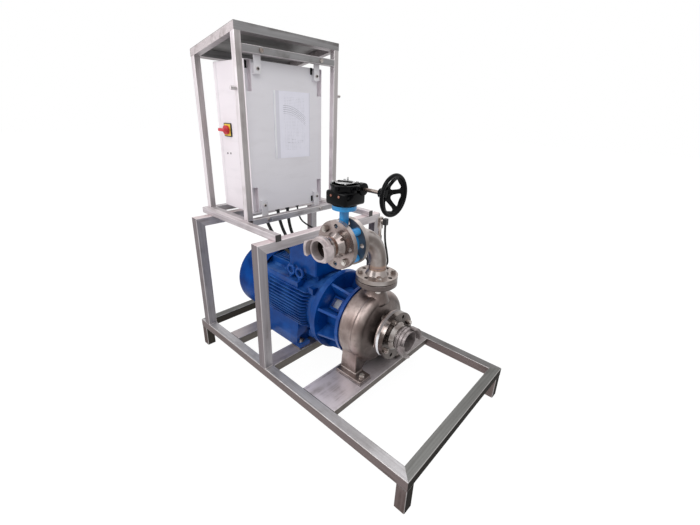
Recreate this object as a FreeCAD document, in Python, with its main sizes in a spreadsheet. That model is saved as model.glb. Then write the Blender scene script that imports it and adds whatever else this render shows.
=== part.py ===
import FreeCAD
import Part
import math
import os
import Sketcher
from FreeCAD import Rotation, Vector

# Centrifugal pump set on a tube skid, with its control cabinet in a cage above the motor.
# Millimetres, +Z up, +X along the pump shaft towards the suction, origin under the middle of the skid.

os.makedirs("parts", exist_ok=True)
doc = FreeCAD.newDocument("pump_set")

SIZES = {
    # skid
    "skid_length": 1400, "skid_width": 800, "tube_side": 45, "tube_wall": 3, "tube_round": 4,
    "foot_height": 110, "foot_plate": 5, "beam_width": 80, "plate_width": 190, "plate_depth": 33,
    "plate_sheet": 6, "plate_start": 125, "seat_pad": 5,
    # portals and rails
    "front_portal_x": -135, "portal_top": 760, "rail_side": 30, "rail_wall": 2, "rail_end": -80,
    # cage
    "cage_length": 372, "cage_half": 287, "cage_tube": 30, "cage_wall": 2, "roof_clear": 118, "roof_fall": 72,
    "roof_sheet": 2, "crossbar_rise": 15, "pin_radius": 8, "pin_length": 26, "pin_height": 1345,
    # cabinet
    "cab_width": 440, "cab_height": 660, "cab_base": 802, "cab_spacer": 18, "cab_depth": 228,
    "cab_sheet": 2, "door_depth": 21, "door_gap": 1.5, "recess_width": 30, "recess_height": 125,
    "recess_depth": 30, "strap_width": 34, "strap_sheet": 4, "strap_length": 92, "strap_place": 168,
    "hinge_radius": 6, "hinge_pin": 3, "lock_radius": 11, "switch_inset": 163, "switch_z": 1174,
    "switch_side": 60, "spindle_radius": 6, "drive_depth": 150, "drive_width": 190, "drive_height": 320,
    "sleeve_width": 218, "sleeve_height": 300, "sleeve_base": 1051, "sleeve_start": -78,
    # cables
    "motor_cable": 17, "sensor_cable_size": 9, "gland_radius": 14, "gland_length": 26, "gland_inset": 60,
    # motor
    "shaft_height": 360, "flange_face": 10, "motor_flange": 200, "flange_thick": 16, "shell_radius": 165,
    "shell_inner": 157, "fin_radius": 192, "fin_thick": 4, "fin_pitch": 15.5, "shield_depth": 55,
    "housing_length": 410, "foot_hole_front": -123, "foot_hole_pitch": 305, "foot_hole_side": 159,
    "foot_half": 188, "foot_thick": 20, "cover_radius": 195, "cover_length": 202, "cover_wall": 2.5,
    "shaft_radius": 30, "journal_gap": 0.04, "bearing_outer": 65, "bearing_width": 31, "air_gap": 1,
    "rotor_radius": 104, "box_start": -260, "box_length": 200, "box_half": 110, "box_base": 540, "box_seam": 585,
    "box_top": 690, "box_wall": 5,
    # adapter and pump
    "adapter_length": 140, "hub_radius": 115, "ring_radius": 178, "ring_width": 15, "rib_thick": 12,
    "flange_screw": 7, "ring_screw": 6,
    "drum_radius": 172, "drum_end": 216, "cover_disc": 150, "cover_thick": 14, "discharge_x": 214,
    "discharge_height": 238, "volute_base": 113, "volute_step": 11, "volute_start": 188, "volute_width": 50,
    "port_bore": 34, "small_flange": 92.5, "small_circle": 72.5, "flange_plate": 19, "pump_flange": 24,
    "suction_bore": 50, "large_flange": 110, "large_circle": 90, "suction_face": 302,
    "gasket_thick": 12, "impeller_radius": 105, "impeller_start": 190, "vane_thick": 6, "stub_radius": 20,
    "pump_foot_half": 177, "pump_foot_width": 77, "pump_foot_length": 150, "pump_foot_start": 147,
    "pump_foot_thick": 14,
    # discharge line and valve
    "pipe_radius": 38, "pipe_wall": 3, "bend_radius": 150, "bend_base": 666, "gasket_gap": 4,
    "valve_start": 199, "valve_width": 46, "valve_radius": 58, "disc_radius": 32, "disc_thick": 8, "liner_wall": 5,
    "stem_radius": 7, "neck_top": 945, "neck_flange": 45, "gear_base": 965, "gear_lid": 58, "gear_height": 50,
    "worm_height": 1020, "worm_side": 41, "worm_radius": 11, "wheel_radius": 73, "wheel_x": 397,
    "running_gap": 0.05, "stud_radius": 8, "nut_radius": 13,
}

sheet = doc.addObject("Spreadsheet::Sheet", "sizes")
for row, (word, value) in enumerate(SIZES.items(), 1):
    sheet.set("A%d" % row, word)
    sheet.set("B%d" % row, str(value))
    sheet.setAlias("B%d" % row, word)
doc.recompute()


def num(quantity):
    """The number behind a size, or the number itself."""
    return quantity.value if isinstance(quantity, Size) else float(quantity)


class Size:
    """A length from the sheet: it keeps its formula beside its number."""

    def __init__(self, formula, value):
        self.formula = formula
        self.value = value

    @staticmethod
    def text(quantity):
        return quantity.formula if isinstance(quantity, Size) else "(%r)" % quantity

    def __add__(self, other):
        return Size("(%s + %s)" % (self.formula, Size.text(other)), self.value + num(other))

    def __sub__(self, other):
        return Size("(%s - %s)" % (self.formula, Size.text(other)), self.value - num(other))

    def __mul__(self, other):
        return Size("(%s * %s)" % (self.formula, Size.text(other)), self.value * num(other))

    def __truediv__(self, other):
        return Size("(%s / %s)" % (self.formula, Size.text(other)), self.value / num(other))

    def __radd__(self, other):
        return Size("(%s + %s)" % (Size.text(other), self.formula), num(other) + self.value)

    def __rsub__(self, other):
        return Size("(%s - %s)" % (Size.text(other), self.formula), num(other) - self.value)

    def __rmul__(self, other):
        return self * other

    def __neg__(self):
        return Size("(0 - %s)" % self.formula, -self.value)


class Sizes:
    """Every named size as an attribute."""

    def __init__(self, table):
        for word, value in table.items():
            setattr(self, word, Size("sizes." + word, float(value)))


p = Sizes(SIZES)
nodes = {}
ALONG = {"x": Rotation(Vector(0, 1, 0), 90), "y": Rotation(Vector(1, 0, 0), -90), "z": Rotation()}
TURNED = {"x": Rotation(), "y": Rotation(Vector(0, 0, 1), 90), "z": Rotation(Vector(0, 1, 0), -90)}
PADDED = {"x": Rotation(Vector(1, 1, 1), 120), "y": Rotation(Vector(1, 0, 0), 90), "z": Rotation()}


def bind(item, prop, quantity):
    if isinstance(quantity, Size):
        item.setExpression(prop, quantity.formula)
    setattr(item, prop, num(quantity))


def place(item, at, turn=Rotation()):
    item.Placement = FreeCAD.Placement(Vector(*[num(value) for value in at]), turn)
    for letter, value in zip("xyz", at):
        if isinstance(value, Size):
            item.setExpression(".Placement.Base." + letter, value.formula)
    return item


def box(size, at):
    item = doc.addObject("Part::Box", "block")
    for prop, value in zip(("Length", "Width", "Height"), size):
        bind(item, prop, value)
    return place(item, at)


def rod(radius, length, at, axis="z"):
    item = doc.addObject("Part::Cylinder", "rod")
    bind(item, "Radius", radius)
    bind(item, "Height", length)
    return place(item, at, ALONG[axis])


def cone(base, top, length, at, axis="z"):
    item = doc.addObject("Part::Cone", "cone")
    bind(item, "Radius1", base)
    bind(item, "Radius2", top)
    bind(item, "Height", length)
    return place(item, at, ALONG[axis])


def group(*items):
    item = doc.addObject("Part::Compound", "group")
    item.Links = list(items)
    return item


def fuse(*items):
    item = doc.addObject("Part::MultiFuse", "joined")
    item.Shapes = list(items)
    item.Refine = True
    return item


def cut(base, *tools):
    item = doc.addObject("Part::Cut", "cut")
    item.Base = base
    item.Tool = tools[0] if len(tools) == 1 else group(*tools)
    return item


def common(base, tool):
    item = doc.addObject("Part::Common", "shared")
    item.Base = base
    item.Tool = tool
    return item


def ring(outer, inner, length, at, axis="z"):
    return cut(rod(outer, length, at, axis), rod(inner, length, at, axis))


def rounded(item, axis, radius):
    """Round the four long edges of a box that run along one axis."""
    doc.recompute([item])
    letter = "xyz".index(axis)
    chosen = []
    for number, edge in enumerate(item.Shape.Edges, 1):
        run = edge.Vertexes[-1].Point - edge.Vertexes[0].Point
        if abs(run[letter]) > 1e-6:
            chosen.append((number, num(radius), num(radius)))
    result = doc.addObject("Part::Fillet", "rounded")
    result.Base = item
    result.Edges = chosen
    return result


def tube(size, at, axis, wall, radius):
    """A square tube: rounded outside, open right through along its axis."""
    outer = rounded(box(size, at), axis, radius)
    inner_size = [value if letter == axis else value - 2 * wall for letter, value in zip("xyz", size)]
    inner_at = [value if letter == axis else value + wall for letter, value in zip("xyz", at)]
    return cut(outer, box(inner_size, inner_at))


def pin_points(sketch, points):
    """Fix each corner of a closed outline to its two sizes; a third value bows the side that ends there.

    A positive radius bows it to the right of the direction of travel, a negative one to the left.
    """
    count = len(points)
    flat = [Vector(num(point[0]), num(point[1]), 0) for point in points]
    ends = []
    for index in range(count):
        start, stop = flat[index], flat[(index + 1) % count]
        bulge = points[(index + 1) % count][2:]
        if bulge:
            radius = num(bulge[0])
            middle = (start + stop) * 0.5
            chord = stop - start
            side = Vector(-chord.y, chord.x, 0).normalize()
            rise = math.sqrt(max(radius ** 2 - (chord.Length / 2) ** 2, 0))
            centre = middle + side * rise * (1 if radius > 0 else -1)
            away = (middle - centre).normalize() if rise > 1e-9 else side * (-1 if radius > 0 else 1)
            peak = centre + away * abs(radius)
            if radius > 0:
                number = sketch.addGeometry(Part.Arc(start, peak, stop), False)
                ends.append((number, 1, 2))
            else:
                number = sketch.addGeometry(Part.Arc(stop, peak, start), False)
                ends.append((number, 2, 1))
        else:
            number = sketch.addGeometry(Part.LineSegment(start, stop), False)
            ends.append((number, 1, 2))
    for index in range(count):
        number, first, last = ends[index]
        following, next_first, next_last = ends[(index + 1) % count]
        sketch.addConstraint(Sketcher.Constraint("Coincident", number, last, following, next_first))
    for index, point in enumerate(points):
        number, first, last = ends[index]
        for kind, axis_line, value, word in (("DistanceX", -2, point[0], "a"), ("DistanceY", -1, point[1], "b")):
            if abs(num(value)) < 1e-9:
                sketch.addConstraint(Sketcher.Constraint("PointOnObject", number, first, axis_line))
                continue
            made = sketch.addConstraint(Sketcher.Constraint(kind, -1, 1, number, first, num(value)))
            if isinstance(value, Size):
                sketch.renameConstraint(made, "%s%d" % (word, index))
                sketch.setExpression("Constraints.%s%d" % (word, index), value.formula)
        bulge = points[(index + 1) % count][2:]
        if bulge:
            sketch.addConstraint(Sketcher.Constraint("Radius", number, abs(num(bulge[0]))))


def outline(body, points, name="outline"):
    sketch = body.newObject("Sketcher::SketchObject", name)
    plane = [item for item in body.Origin.OriginFeatures if item.Role == "XY_Plane"][0]
    sketch.AttachmentSupport = (plane, [""])
    sketch.MapMode = "FlatFace"
    pin_points(sketch, points)
    return sketch


def turned(points, at, axis="x"):
    """Turn an outline of (along, radius) points once round its axis."""
    body = doc.addObject("PartDesign::Body", "turned")
    sketch = outline(body, points)
    shape = body.newObject("PartDesign::Revolution", "round")
    shape.Profile = sketch
    shape.ReferenceAxis = (sketch, ["H_Axis"])
    shape.Angle = 360
    place(body, at, TURNED[axis])
    return body


def padded(points, depth, at, axis="z"):
    """A plate from an outline: (x, y) for z, (y, z) for x, and (x, z) for y, where it grows towards -y."""
    body = doc.addObject("PartDesign::Body", "padded")
    sketch = outline(body, points)
    shape = body.newObject("PartDesign::Pad", "plate")
    shape.Profile = sketch
    bind(shape, "Length", depth)
    place(body, at, PADDED[axis])
    return body


def swing(item, angle, axis=Vector(1, 0, 0)):
    """A piece drawn round the origin, turned and lifted to the pump axis."""
    return place(group(item), (0, 0, p.shaft_height), Rotation(axis, angle))


def hexagon(radius, length, at, axis="z"):
    item = doc.addObject("Part::Prism", "hexagon")
    item.Polygon = 6
    bind(item, "Circumradius", radius)
    bind(item, "Height", length)
    return place(item, at, ALONG[axis])


def circle_places(count, radius, start=0):
    """Evenly spaced pairs on a circle, each a share of the radius."""
    for step in range(count):
        angle = math.radians(start + 360.0 * step / count)
        yield radius * math.cos(angle), radius * math.sin(angle)


def node(name, item):
    item.Label = name
    nodes[name] = item
    return item


half_length = p.skid_length / 2
half_width = p.skid_width / 2
skid_top = p.foot_height + p.tube_side
bay = p.skid_width - 2 * p.tube_side

# Skid: side and end tubes are mitred where they meet, and stand on four tube feet.
def mitre(points, base, height):
    return padded(points, height, (0, 0, base))


side_tubes = []
end_tubes = []
for sign in (-1, 1):
    side = tube((p.skid_length, p.tube_side, p.tube_side),
                (-half_length, sign * half_width - (p.tube_side if sign > 0 else 0), p.foot_height),
                "x", p.tube_wall, p.tube_round)
    side_tubes.append(common(side, mitre([
        (-half_length, sign * half_width), (half_length, sign * half_width),
        (half_length - p.tube_side, sign * (half_width - p.tube_side)),
        (-half_length + p.tube_side, sign * (half_width - p.tube_side))], p.foot_height, p.tube_side)))
    end = tube((p.tube_side, p.skid_width, p.tube_side),
               (sign * half_length - (p.tube_side if sign > 0 else 0), -half_width, p.foot_height),
               "y", p.tube_wall, p.tube_round)
    end_tubes.append(common(end, mitre([
        (sign * half_length, -half_width), (sign * half_length, half_width),
        (sign * (half_length - p.tube_side), half_width - p.tube_side),
        (sign * (half_length - p.tube_side), -half_width + p.tube_side)], p.foot_height, p.tube_side)))
node("side_tubes", group(*side_tubes))
node("end_tubes", group(*end_tubes))

feet = []
for x_sign in (-1, 1):
    for y_sign in (-1, 1):
        corner = (x_sign * half_length - (p.tube_side if x_sign > 0 else 0),
                  y_sign * half_width - (p.tube_side if y_sign > 0 else 0), 0)
        wall = tube((p.tube_side, p.tube_side, p.foot_height), corner, "z", p.tube_wall, p.tube_round)
        sole = rounded(box((p.tube_side, p.tube_side, p.foot_plate), corner), "z", p.tube_round)
        feet.append(fuse(wall, sole))
node("base_feet", group(*feet))

beams = []
for centre in (p.foot_hole_front, p.foot_hole_front - p.foot_hole_pitch):
    beam = tube((p.beam_width, bay, p.tube_side), (centre - p.beam_width / 2, -bay / 2, p.foot_height),
                "y", p.tube_wall, p.tube_round)
    pads = [box((64, 62, p.seat_pad), (centre - 32, sign * p.foot_hole_side - 31, skid_top)) for sign in (-1, 1)]
    holes = [rod(9, p.tube_side + p.seat_pad, (centre, sign * p.foot_hole_side, p.foot_height)) for sign in (-1, 1)]
    beams.append(cut(fuse(beam, *pads), *holes))
node("motor_beams", group(*beams))

# The pump plate is a folded channel, legs down, with a seat pad under the pump foot.
channel = cut(rounded(box((p.plate_width, bay, p.plate_depth), (p.plate_start, -bay / 2, skid_top - p.plate_depth)),
                      "y", 3),
              box((p.plate_width - 2 * p.plate_sheet, bay, p.plate_depth - p.plate_sheet),
                  (p.plate_start + p.plate_sheet, -bay / 2, skid_top - p.plate_depth)))
pump_bolts = [(p.pump_foot_start + p.pump_foot_length - 22, sign * (p.pump_foot_half - 37)) for sign in (-1, 1)]
pump_pads = [box((p.pump_foot_length, p.pump_foot_width, p.seat_pad),
                 (p.pump_foot_start, sign * p.pump_foot_half - (p.pump_foot_width if sign > 0 else 0), skid_top))
             for sign in (-1, 1)]
plate_holes = [rod(9, p.plate_sheet + p.seat_pad, (x, y, skid_top - p.plate_sheet)) for x, y in pump_bolts]
node("pump_plate", cut(fuse(channel, *pump_pads), *plate_holes))

# Portals: two posts and a mitred beam each, welded on the side tubes.
posts = []
portal_beams = []
portal_rise = p.portal_top - skid_top
for start in (-half_length + p.tube_side, p.front_portal_x):
    inner_half = half_width - p.tube_side
    for sign in (-1, 1):
        post = tube((p.tube_side, p.tube_side, portal_rise),
                    (start, sign * half_width - (p.tube_side if sign > 0 else 0), skid_top),
                    "z", p.tube_wall, p.tube_round)
        posts.append(common(post, padded([
            (sign * half_width, skid_top), (sign * half_width, p.portal_top),
            (sign * inner_half, p.portal_top - p.tube_side), (sign * inner_half, skid_top)],
            p.tube_side, (start, 0, 0), "x")))
    beam = tube((p.tube_side, p.skid_width, p.tube_side), (start, -half_width, p.portal_top - p.tube_side),
                "y", p.tube_wall, p.tube_round)
    portal_beams.append(common(beam, padded([
        (-half_width, p.portal_top), (half_width, p.portal_top),
        (inner_half, p.portal_top - p.tube_side), (-inner_half, p.portal_top - p.tube_side)],
        p.tube_side, (start, 0, 0), "x")))
node("portal_posts", group(*posts))
node("portal_beams", group(*portal_beams))

# Two rails lie on the portal beams, outside the cage base, each closed by a cap at both ends.
cage_start = -half_length
rail_round = 3
rails = []
for sign in (-1, 1):
    rail_y = sign * p.cage_half - (p.rail_side if sign < 0 else 0)
    rails.append(tube((p.rail_end - cage_start - 2 * p.rail_wall, p.rail_side, p.rail_side),
                      (cage_start + p.rail_wall, rail_y, p.portal_top), "x", p.rail_wall, rail_round))
    rails += [rounded(box((p.rail_wall, p.rail_side, p.rail_side), (x, rail_y, p.portal_top)), "x", rail_round)
              for x in (cage_start, p.rail_end - p.rail_wall)]
node("cabinet_rails", group(*rails))

# Cage: base rectangle, posts cut to the roof slope, upper crossbar, top rectangle and roof sheet.
cage_end = cage_start + p.cage_length
cage_base = p.portal_top
cab_top = p.cab_base + p.cab_height
roof_front = cab_top + p.roof_clear
roof_rear = roof_front - p.roof_fall
crossbar_base = cab_top + p.crossbar_rise
post_base = cage_base + p.cage_tube
cage_clear = 2 * (p.cage_half - p.cage_tube)
members = []
for sign in (-1, 1):
    members.append(tube((p.cage_length, p.cage_tube, p.cage_tube),
                        (cage_start, sign * p.cage_half - (p.cage_tube if sign > 0 else 0), cage_base),
                        "x", p.cage_wall, 3))
for start in (cage_start, cage_end - p.cage_tube):
    members.append(tube((p.cage_tube, cage_clear, p.cage_tube), (start, -cage_clear / 2, cage_base),
                        "y", p.cage_wall, 3))
node("cage_base", group(*members))

under_front = roof_front - p.roof_sheet - p.cage_tube
under_rear = roof_rear - p.roof_sheet - p.cage_tube


def roof_slice(top_front, top_rear, thick, half):
    """A sloping slab between the rear and the front of the cage."""
    return padded([(cage_start, top_rear - thick), (cage_end, top_front - thick),
                   (cage_end, top_front), (cage_start, top_rear)], 2 * half, (0, half, 0), "y")


below_roof = roof_slice(under_front, under_rear, roof_front - post_base, p.cage_half)
cage_posts = []
for start in (cage_start, cage_end - p.cage_tube):
    for sign in (-1, 1):
        post = tube((p.cage_tube, p.cage_tube, roof_front - post_base),
                    (start, sign * p.cage_half - (p.cage_tube if sign > 0 else 0), post_base),
                    "z", p.cage_wall, 3)
        cage_posts.append(common(post, below_roof))
for sign in (-1, 1):
    cage_posts.append(rod(p.pin_radius, p.pin_length,
                          (cage_end - p.cage_tube / 2,
                           sign * p.cage_half - (p.pin_length if sign < 0 else 0), p.pin_height), "y"))
node("cage_posts", group(*cage_posts))

crossbar = tube((p.cage_tube, cage_clear, p.cage_tube),
                (cage_end - p.cage_tube, -cage_clear / 2, crossbar_base), "y", p.cage_wall, 3)

# The four roof members follow the slope and are mitred at the corners, like the tubes of the skid.
beam_slab = roof_slice(roof_front - p.roof_sheet, roof_rear - p.roof_sheet, p.cage_tube, p.cage_half)
beam_hollow = roof_slice(roof_front - p.roof_sheet - p.cage_wall, roof_rear - p.roof_sheet - p.cage_wall,
                         p.cage_tube - 2 * p.cage_wall, p.cage_half)
roof_low = roof_rear - 3 * p.cage_tube
roof_deep = roof_front - roof_low


def roof_member(size, start, wall_x, wall_y, corners):
    """A hollow piece of the sloping frame: its walls stand in one direction, its ends follow the corners."""
    outer = box((size[0], size[1], roof_deep), (start[0], start[1], roof_low))
    inner = box((size[0] - 2 * wall_x, size[1] - 2 * wall_y, roof_deep),
                (start[0] + wall_x, start[1] + wall_y, roof_low))
    return common(cut(common(beam_slab, outer), common(beam_hollow, inner)), mitre(corners, roof_low, roof_deep))


inner_start = cage_start + p.cage_tube
inner_end = cage_end - p.cage_tube
roof_frame = []
for sign in (-1, 1):
    far = sign * p.cage_half
    near = sign * (p.cage_half - p.cage_tube)
    roof_frame.append(roof_member(
        (p.cage_length, p.cage_tube), (cage_start, far if sign < 0 else near), 0, p.cage_wall,
        [(cage_start, far), (cage_end, far), (inner_end, near), (inner_start, near)]))
for start, edge, inside in ((cage_start, cage_start, inner_start), (inner_end, cage_end, inner_end)):
    roof_frame.append(roof_member(
        (p.cage_tube, 2 * p.cage_half), (start, -p.cage_half), p.cage_wall, 0,
        [(edge, -p.cage_half), (edge, p.cage_half), (inside, cage_clear / 2), (inside, -cage_clear / 2)]))
node("cage_top", group(*roof_frame, crossbar))
node("roof_sheet", roof_slice(roof_front, roof_rear, p.roof_sheet, p.cage_half))

# Cabinet: a folded shell open at the rear, with recessed back corners, glands in the floor and a hinged door.
cab_half = p.cab_width / 2
strap_x = cage_end - p.cage_tube - p.strap_sheet
cab_back = strap_x - p.cab_spacer
cab_open = cab_back - p.cab_depth
shell = cut(rounded(box((p.cab_depth, p.cab_width, p.cab_height), (cab_open, -cab_half, p.cab_base)), "x", 4),
            box((p.cab_depth - p.cab_sheet, p.cab_width - 2 * p.cab_sheet, p.cab_height - 2 * p.cab_sheet),
                (cab_open, -cab_half + p.cab_sheet, p.cab_base + p.cab_sheet)))
corner_boxes = []
corner_voids = []
for y_sign in (-1, 1):
    for z_low in (p.cab_base, cab_top - p.recess_height):
        outer_y = y_sign * (cab_half - p.cab_sheet) - (p.recess_width if y_sign > 0 else 0)
        corner_boxes.append(box((p.recess_depth, p.recess_width + p.cab_sheet, p.recess_height),
                                (cab_back - p.recess_depth,
                                 outer_y - (p.cab_sheet if y_sign > 0 else 0), z_low)))
        corner_voids.append(box((p.recess_depth - p.cab_sheet, p.recess_width, p.recess_height - 2 * p.cab_sheet),
                                (cab_back - p.recess_depth + p.cab_sheet, outer_y, z_low + p.cab_sheet)))
gland_holes = []
GLAND_SIDES = (-120, -37, 28, 95)
gland_x = cab_back - p.gland_inset
switch_x = cab_back - p.switch_inset
for y in GLAND_SIDES:
    gland_holes.append(rod(p.gland_radius - 4, p.cab_sheet, (gland_x, y, p.cab_base)))
switch_hole = rod(8, p.cab_sheet, (switch_x, -cab_half, p.switch_z), "y")
# Barrel hinges on the far side: the shell carries the lower half and the pin, the door the upper half.
hinge_x = cab_open - p.door_gap / 2
hinge_y = cab_half + p.hinge_radius
shell_hinges = []
door_hinges = []
for height in (p.cab_base + 70, cab_top - 130):
    shell_hinges.append(rod(p.hinge_radius, 30, (hinge_x, hinge_y, height)))
    shell_hinges.append(rod(p.hinge_pin, 60, (hinge_x, hinge_y, height)))
    shell_hinges.append(box((24, 3, 30), (cab_open, cab_half, height)))
    door_hinges.append(rod(p.hinge_radius, 29.7, (hinge_x, hinge_y, height + 30.3)))
    door_hinges.append(box((20, 3, 29.7), (cab_open - p.door_gap - 20, cab_half, height + 30.3)))
pin_holes = [rod(p.hinge_pin + p.running_gap, 29.7, (hinge_x, hinge_y, height + 30.3))
             for height in (p.cab_base + 70, cab_top - 130)]
node("cabinet_shell", cut(fuse(shell, *corner_boxes, *shell_hinges), *corner_voids, *gland_holes, switch_hole))

door_x = cab_open - p.door_gap - p.door_depth
door_skin = cut(rounded(box((p.door_depth, p.cab_width, p.cab_height), (door_x, -cab_half, p.cab_base)), "x", 4),
                box((p.door_depth - p.cab_sheet, p.cab_width - 2 * p.cab_sheet, p.cab_height - 2 * p.cab_sheet),
                    (door_x + p.cab_sheet, -cab_half + p.cab_sheet, p.cab_base + p.cab_sheet)))
LOCK_HEIGHTS = (170, 490)
lock_y = -cab_half + 30
lock_holes = [rod(p.lock_radius + p.running_gap, p.cab_sheet, (door_x, lock_y, p.cab_base + rise), "x")
              for rise in LOCK_HEIGHTS]
node("cabinet_door", cut(fuse(door_skin, *door_hinges), *lock_holes, *pin_holes))
for word, rise in zip(("lower", "upper"), LOCK_HEIGHTS):
    height = p.cab_base + rise
    barrel = rod(p.lock_radius, 16, (door_x - 2, lock_y, height), "x")
    head = cone(p.lock_radius + 2, p.lock_radius + 4, 2, (door_x - 2.5, lock_y, height), "x")
    cam = box((3, 34, 16), (door_x + 11, lock_y - 11, height - 8))
    slot = box((4, 4, 12), (door_x - 2.5, lock_y - 2, height - 6))
    node("door_lock_" + word, cut(fuse(barrel, head, cam), slot))

# Inside: a mounting plate with the motor drive and a row of switchgear.
plate_x = cab_back - p.recess_depth - 10
node("mounting_plate", fuse(
    box((3, p.cab_width - 60, p.cab_height - 60), (plate_x - 3, -cab_half + 30, p.cab_base + 30)),
    *[rod(5, cab_back - p.cab_sheet - plate_x, (plate_x, y, z), "x")
      for y in (-140, 140) for z in (p.cab_base + 160, cab_top - 160)]))
node("motor_drive", rounded(box((p.drive_depth, p.drive_width, p.drive_height),
                                (plate_x - 3 - p.drive_depth, -150, p.cab_base + 270)), "z", 8))
gear_items = [box((8, p.cab_width - 120, 35), (plate_x - 11, -cab_half + 60, p.cab_base + 140))]
for start, width, height in ((-150, 54, 90), (-90, 45, 84), (-40, 45, 84), (20, 120, 60)):
    gear_items.append(box((70, width, height), (plate_x - 81, start, p.cab_base + 157 - height / 2)))
node("switchgear", group(*gear_items))

# Straps hang the cabinet on the crossbar and the cage base, each on a rubber spacer.
straps = []
cage_bolts = []
for sign in (-1, 1):
    for low, hole, screw in ((crossbar_base - 69, crossbar_base + 15, crossbar_base - 50),
                             (cage_base + 4, cage_base + 17, cage_base + 80)):
        y = sign * p.strap_place
        strap = rounded(box((p.strap_sheet, p.strap_width, p.strap_length),
                            (strap_x, y - p.strap_width / 2, low)), "x", 3)
        holes = [rod(5, p.strap_sheet, (strap_x, y, hole), "x"), rod(4, p.strap_sheet, (strap_x, y, screw), "x")]
        straps.append(cut(strap, *holes))
        spacer = box((strap_x - cab_back, 26, 44), (cab_back, y - 13, screw - 22))
        straps.append(cut(spacer, rod(4, strap_x - cab_back, (cab_back, y, screw), "x")))
        cage_bolts.append(fuse(rod(9, 6, (cage_end, y, hole), "x"), rod(5, 1.5, (cage_end + 6, y, hole), "x")))
        cage_bolts.append(rod(7, 5, (strap_x + p.strap_sheet, y, screw), "x"))
node("cabinet_straps", group(*straps))

# Main switch on the near side: square plate, and a rotary handle that turns a quarter.
switch_y = -cab_half
node("switch_plate", cut(
    rounded(box((p.switch_side, 6, p.switch_side), (switch_x - p.switch_side / 2, switch_y - 6,
                                                   p.switch_z - p.switch_side / 2)), "y", 4),
    rod(p.spindle_radius + p.running_gap, 6, (switch_x, switch_y - 6, p.switch_z), "y")))
handle = fuse(rod(20, 12, (switch_x, switch_y - 18.3, p.switch_z), "y"),
              box((14, 16, 52), (switch_x - 7, switch_y - 33, p.switch_z - 26)),
              rod(p.spindle_radius, 30, (switch_x, switch_y - 10, p.switch_z), "y"))
node("switch_handle", handle)
node("document_sleeve", box((1.5, p.sleeve_width, p.sleeve_height), (cab_back, p.sleeve_start, p.sleeve_base)))

# Motor: finned housing on deep feet, bored right through for the stator.
housing_end = p.flange_face - p.shield_depth
housing_start = housing_end - p.housing_length
axis_z = p.shaft_height
fins = []
for step in range(12):
    fins.append(box((p.housing_length - 30, 2 * p.fin_radius, p.fin_thick),
                    (housing_start + 10, -p.fin_radius, axis_z - 66 + step * p.fin_pitch)))
for step in range(-5, 6):
    fin_y = step * p.fin_pitch - p.fin_thick / 2
    fins.append(box((p.box_start - housing_start - 18, p.fin_thick, 45), (housing_start + 10, fin_y, axis_z + 135)))
    fins.append(box((p.housing_length - 60, p.fin_thick, 60), (housing_start + 30, fin_y, axis_z - 195)))
shoulders = [rounded(box((p.box_start - housing_start + 92, 62, 58), (housing_start + 22, side, axis_z + 80)), "x", 5)
             for side in (-153, 91)]
# The fins end in a curve down to the shell at the drive end.
envelope = turned([
    (housing_start, 0), (housing_start, p.fin_radius), (housing_end - 50, p.fin_radius),
    (housing_end - 20, p.shell_radius + 2, -32), (housing_end - 20, 0)], (0, 0, axis_z))
shell = rod(p.shell_radius, p.housing_length, (housing_start, 0, axis_z), "x")
foot_base = skid_top + p.seat_pad
skirts = []
rear_hole = p.foot_hole_front - p.foot_hole_pitch
foot_start = rear_hole - 32
foot_run = p.foot_hole_pitch + 64
for sign in (-1, 1):
    web = padded([(sign * p.foot_half, foot_base), (sign * p.foot_half, foot_base + 50),
                  (sign * (p.fin_radius - 14), axis_z - 58), (sign * 100, axis_z - 58),
                  (sign * 100, axis_z - 110), (sign * (p.foot_half - 16), foot_base + 50),
                  (sign * (p.foot_half - 16), foot_base)],
                 foot_run - 50, (foot_start + 26, 0, 0), "x")
    sole = box((foot_run, 64, p.foot_thick), (foot_start, sign * p.foot_half - (64 if sign > 0 else 0), foot_base))
    skirts.extend((web, sole))
terminal_pad = box((p.box_length - 30, 2 * p.box_half - 60, 40),
                   (p.box_start + 15, -p.box_half + 30, p.box_base - 40))
lugs = [box((30, 34, 30), (housing_end - 30, sign * 128 - 17, axis_z + rise - 15))
        for sign in (-1, 1) for rise in (118, -118)]
motor_solid = fuse(common(fuse(*fins), envelope), shell, terminal_pad, *shoulders, *skirts, *lugs)
foot_holes = [rod(9, p.foot_thick, (x, sign * p.foot_hole_side, foot_base))
              for x in (p.foot_hole_front, rear_hole) for sign in (-1, 1)]
bore = rod(p.shell_inner, p.housing_length, (housing_start, 0, axis_z), "x")
wire_hole = rod(25, 100, (p.box_start + p.box_length / 2, 0, p.box_base - 100))
node("motor_housing", cut(motor_solid, fuse(bore, wire_hole), *foot_holes))

core_start = housing_start + 85
core_length = p.housing_length - 190
stator_inner = p.rotor_radius + p.air_gap
node("motor_stator", group(
    ring(p.shell_inner, stator_inner, core_length, (core_start, 0, axis_z), "x"),
    ring(p.shell_inner - 12, stator_inner + 6, 40, (core_start - 40, 0, axis_z), "x"),
    ring(p.shell_inner - 12, stator_inner + 6, 40, (core_start + core_length, 0, axis_z), "x")))

# The drive-end shield carries the bearing and the big flange; the rear shield is a dished plate.
bearing_front = housing_end + 6
boss = p.bearing_outer + 14
# Adapter screws: angles from the top, so placed that they clear the ribs and the windows of the adapter.
SCREW_ANGLES = (0, 48, 88, 128, 180, -128, -88, -48)


def screw_places(radius):
    for angle in SCREW_ANGLES:
        yield radius * -math.sin(math.radians(angle)), radius * math.cos(math.radians(angle))


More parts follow.
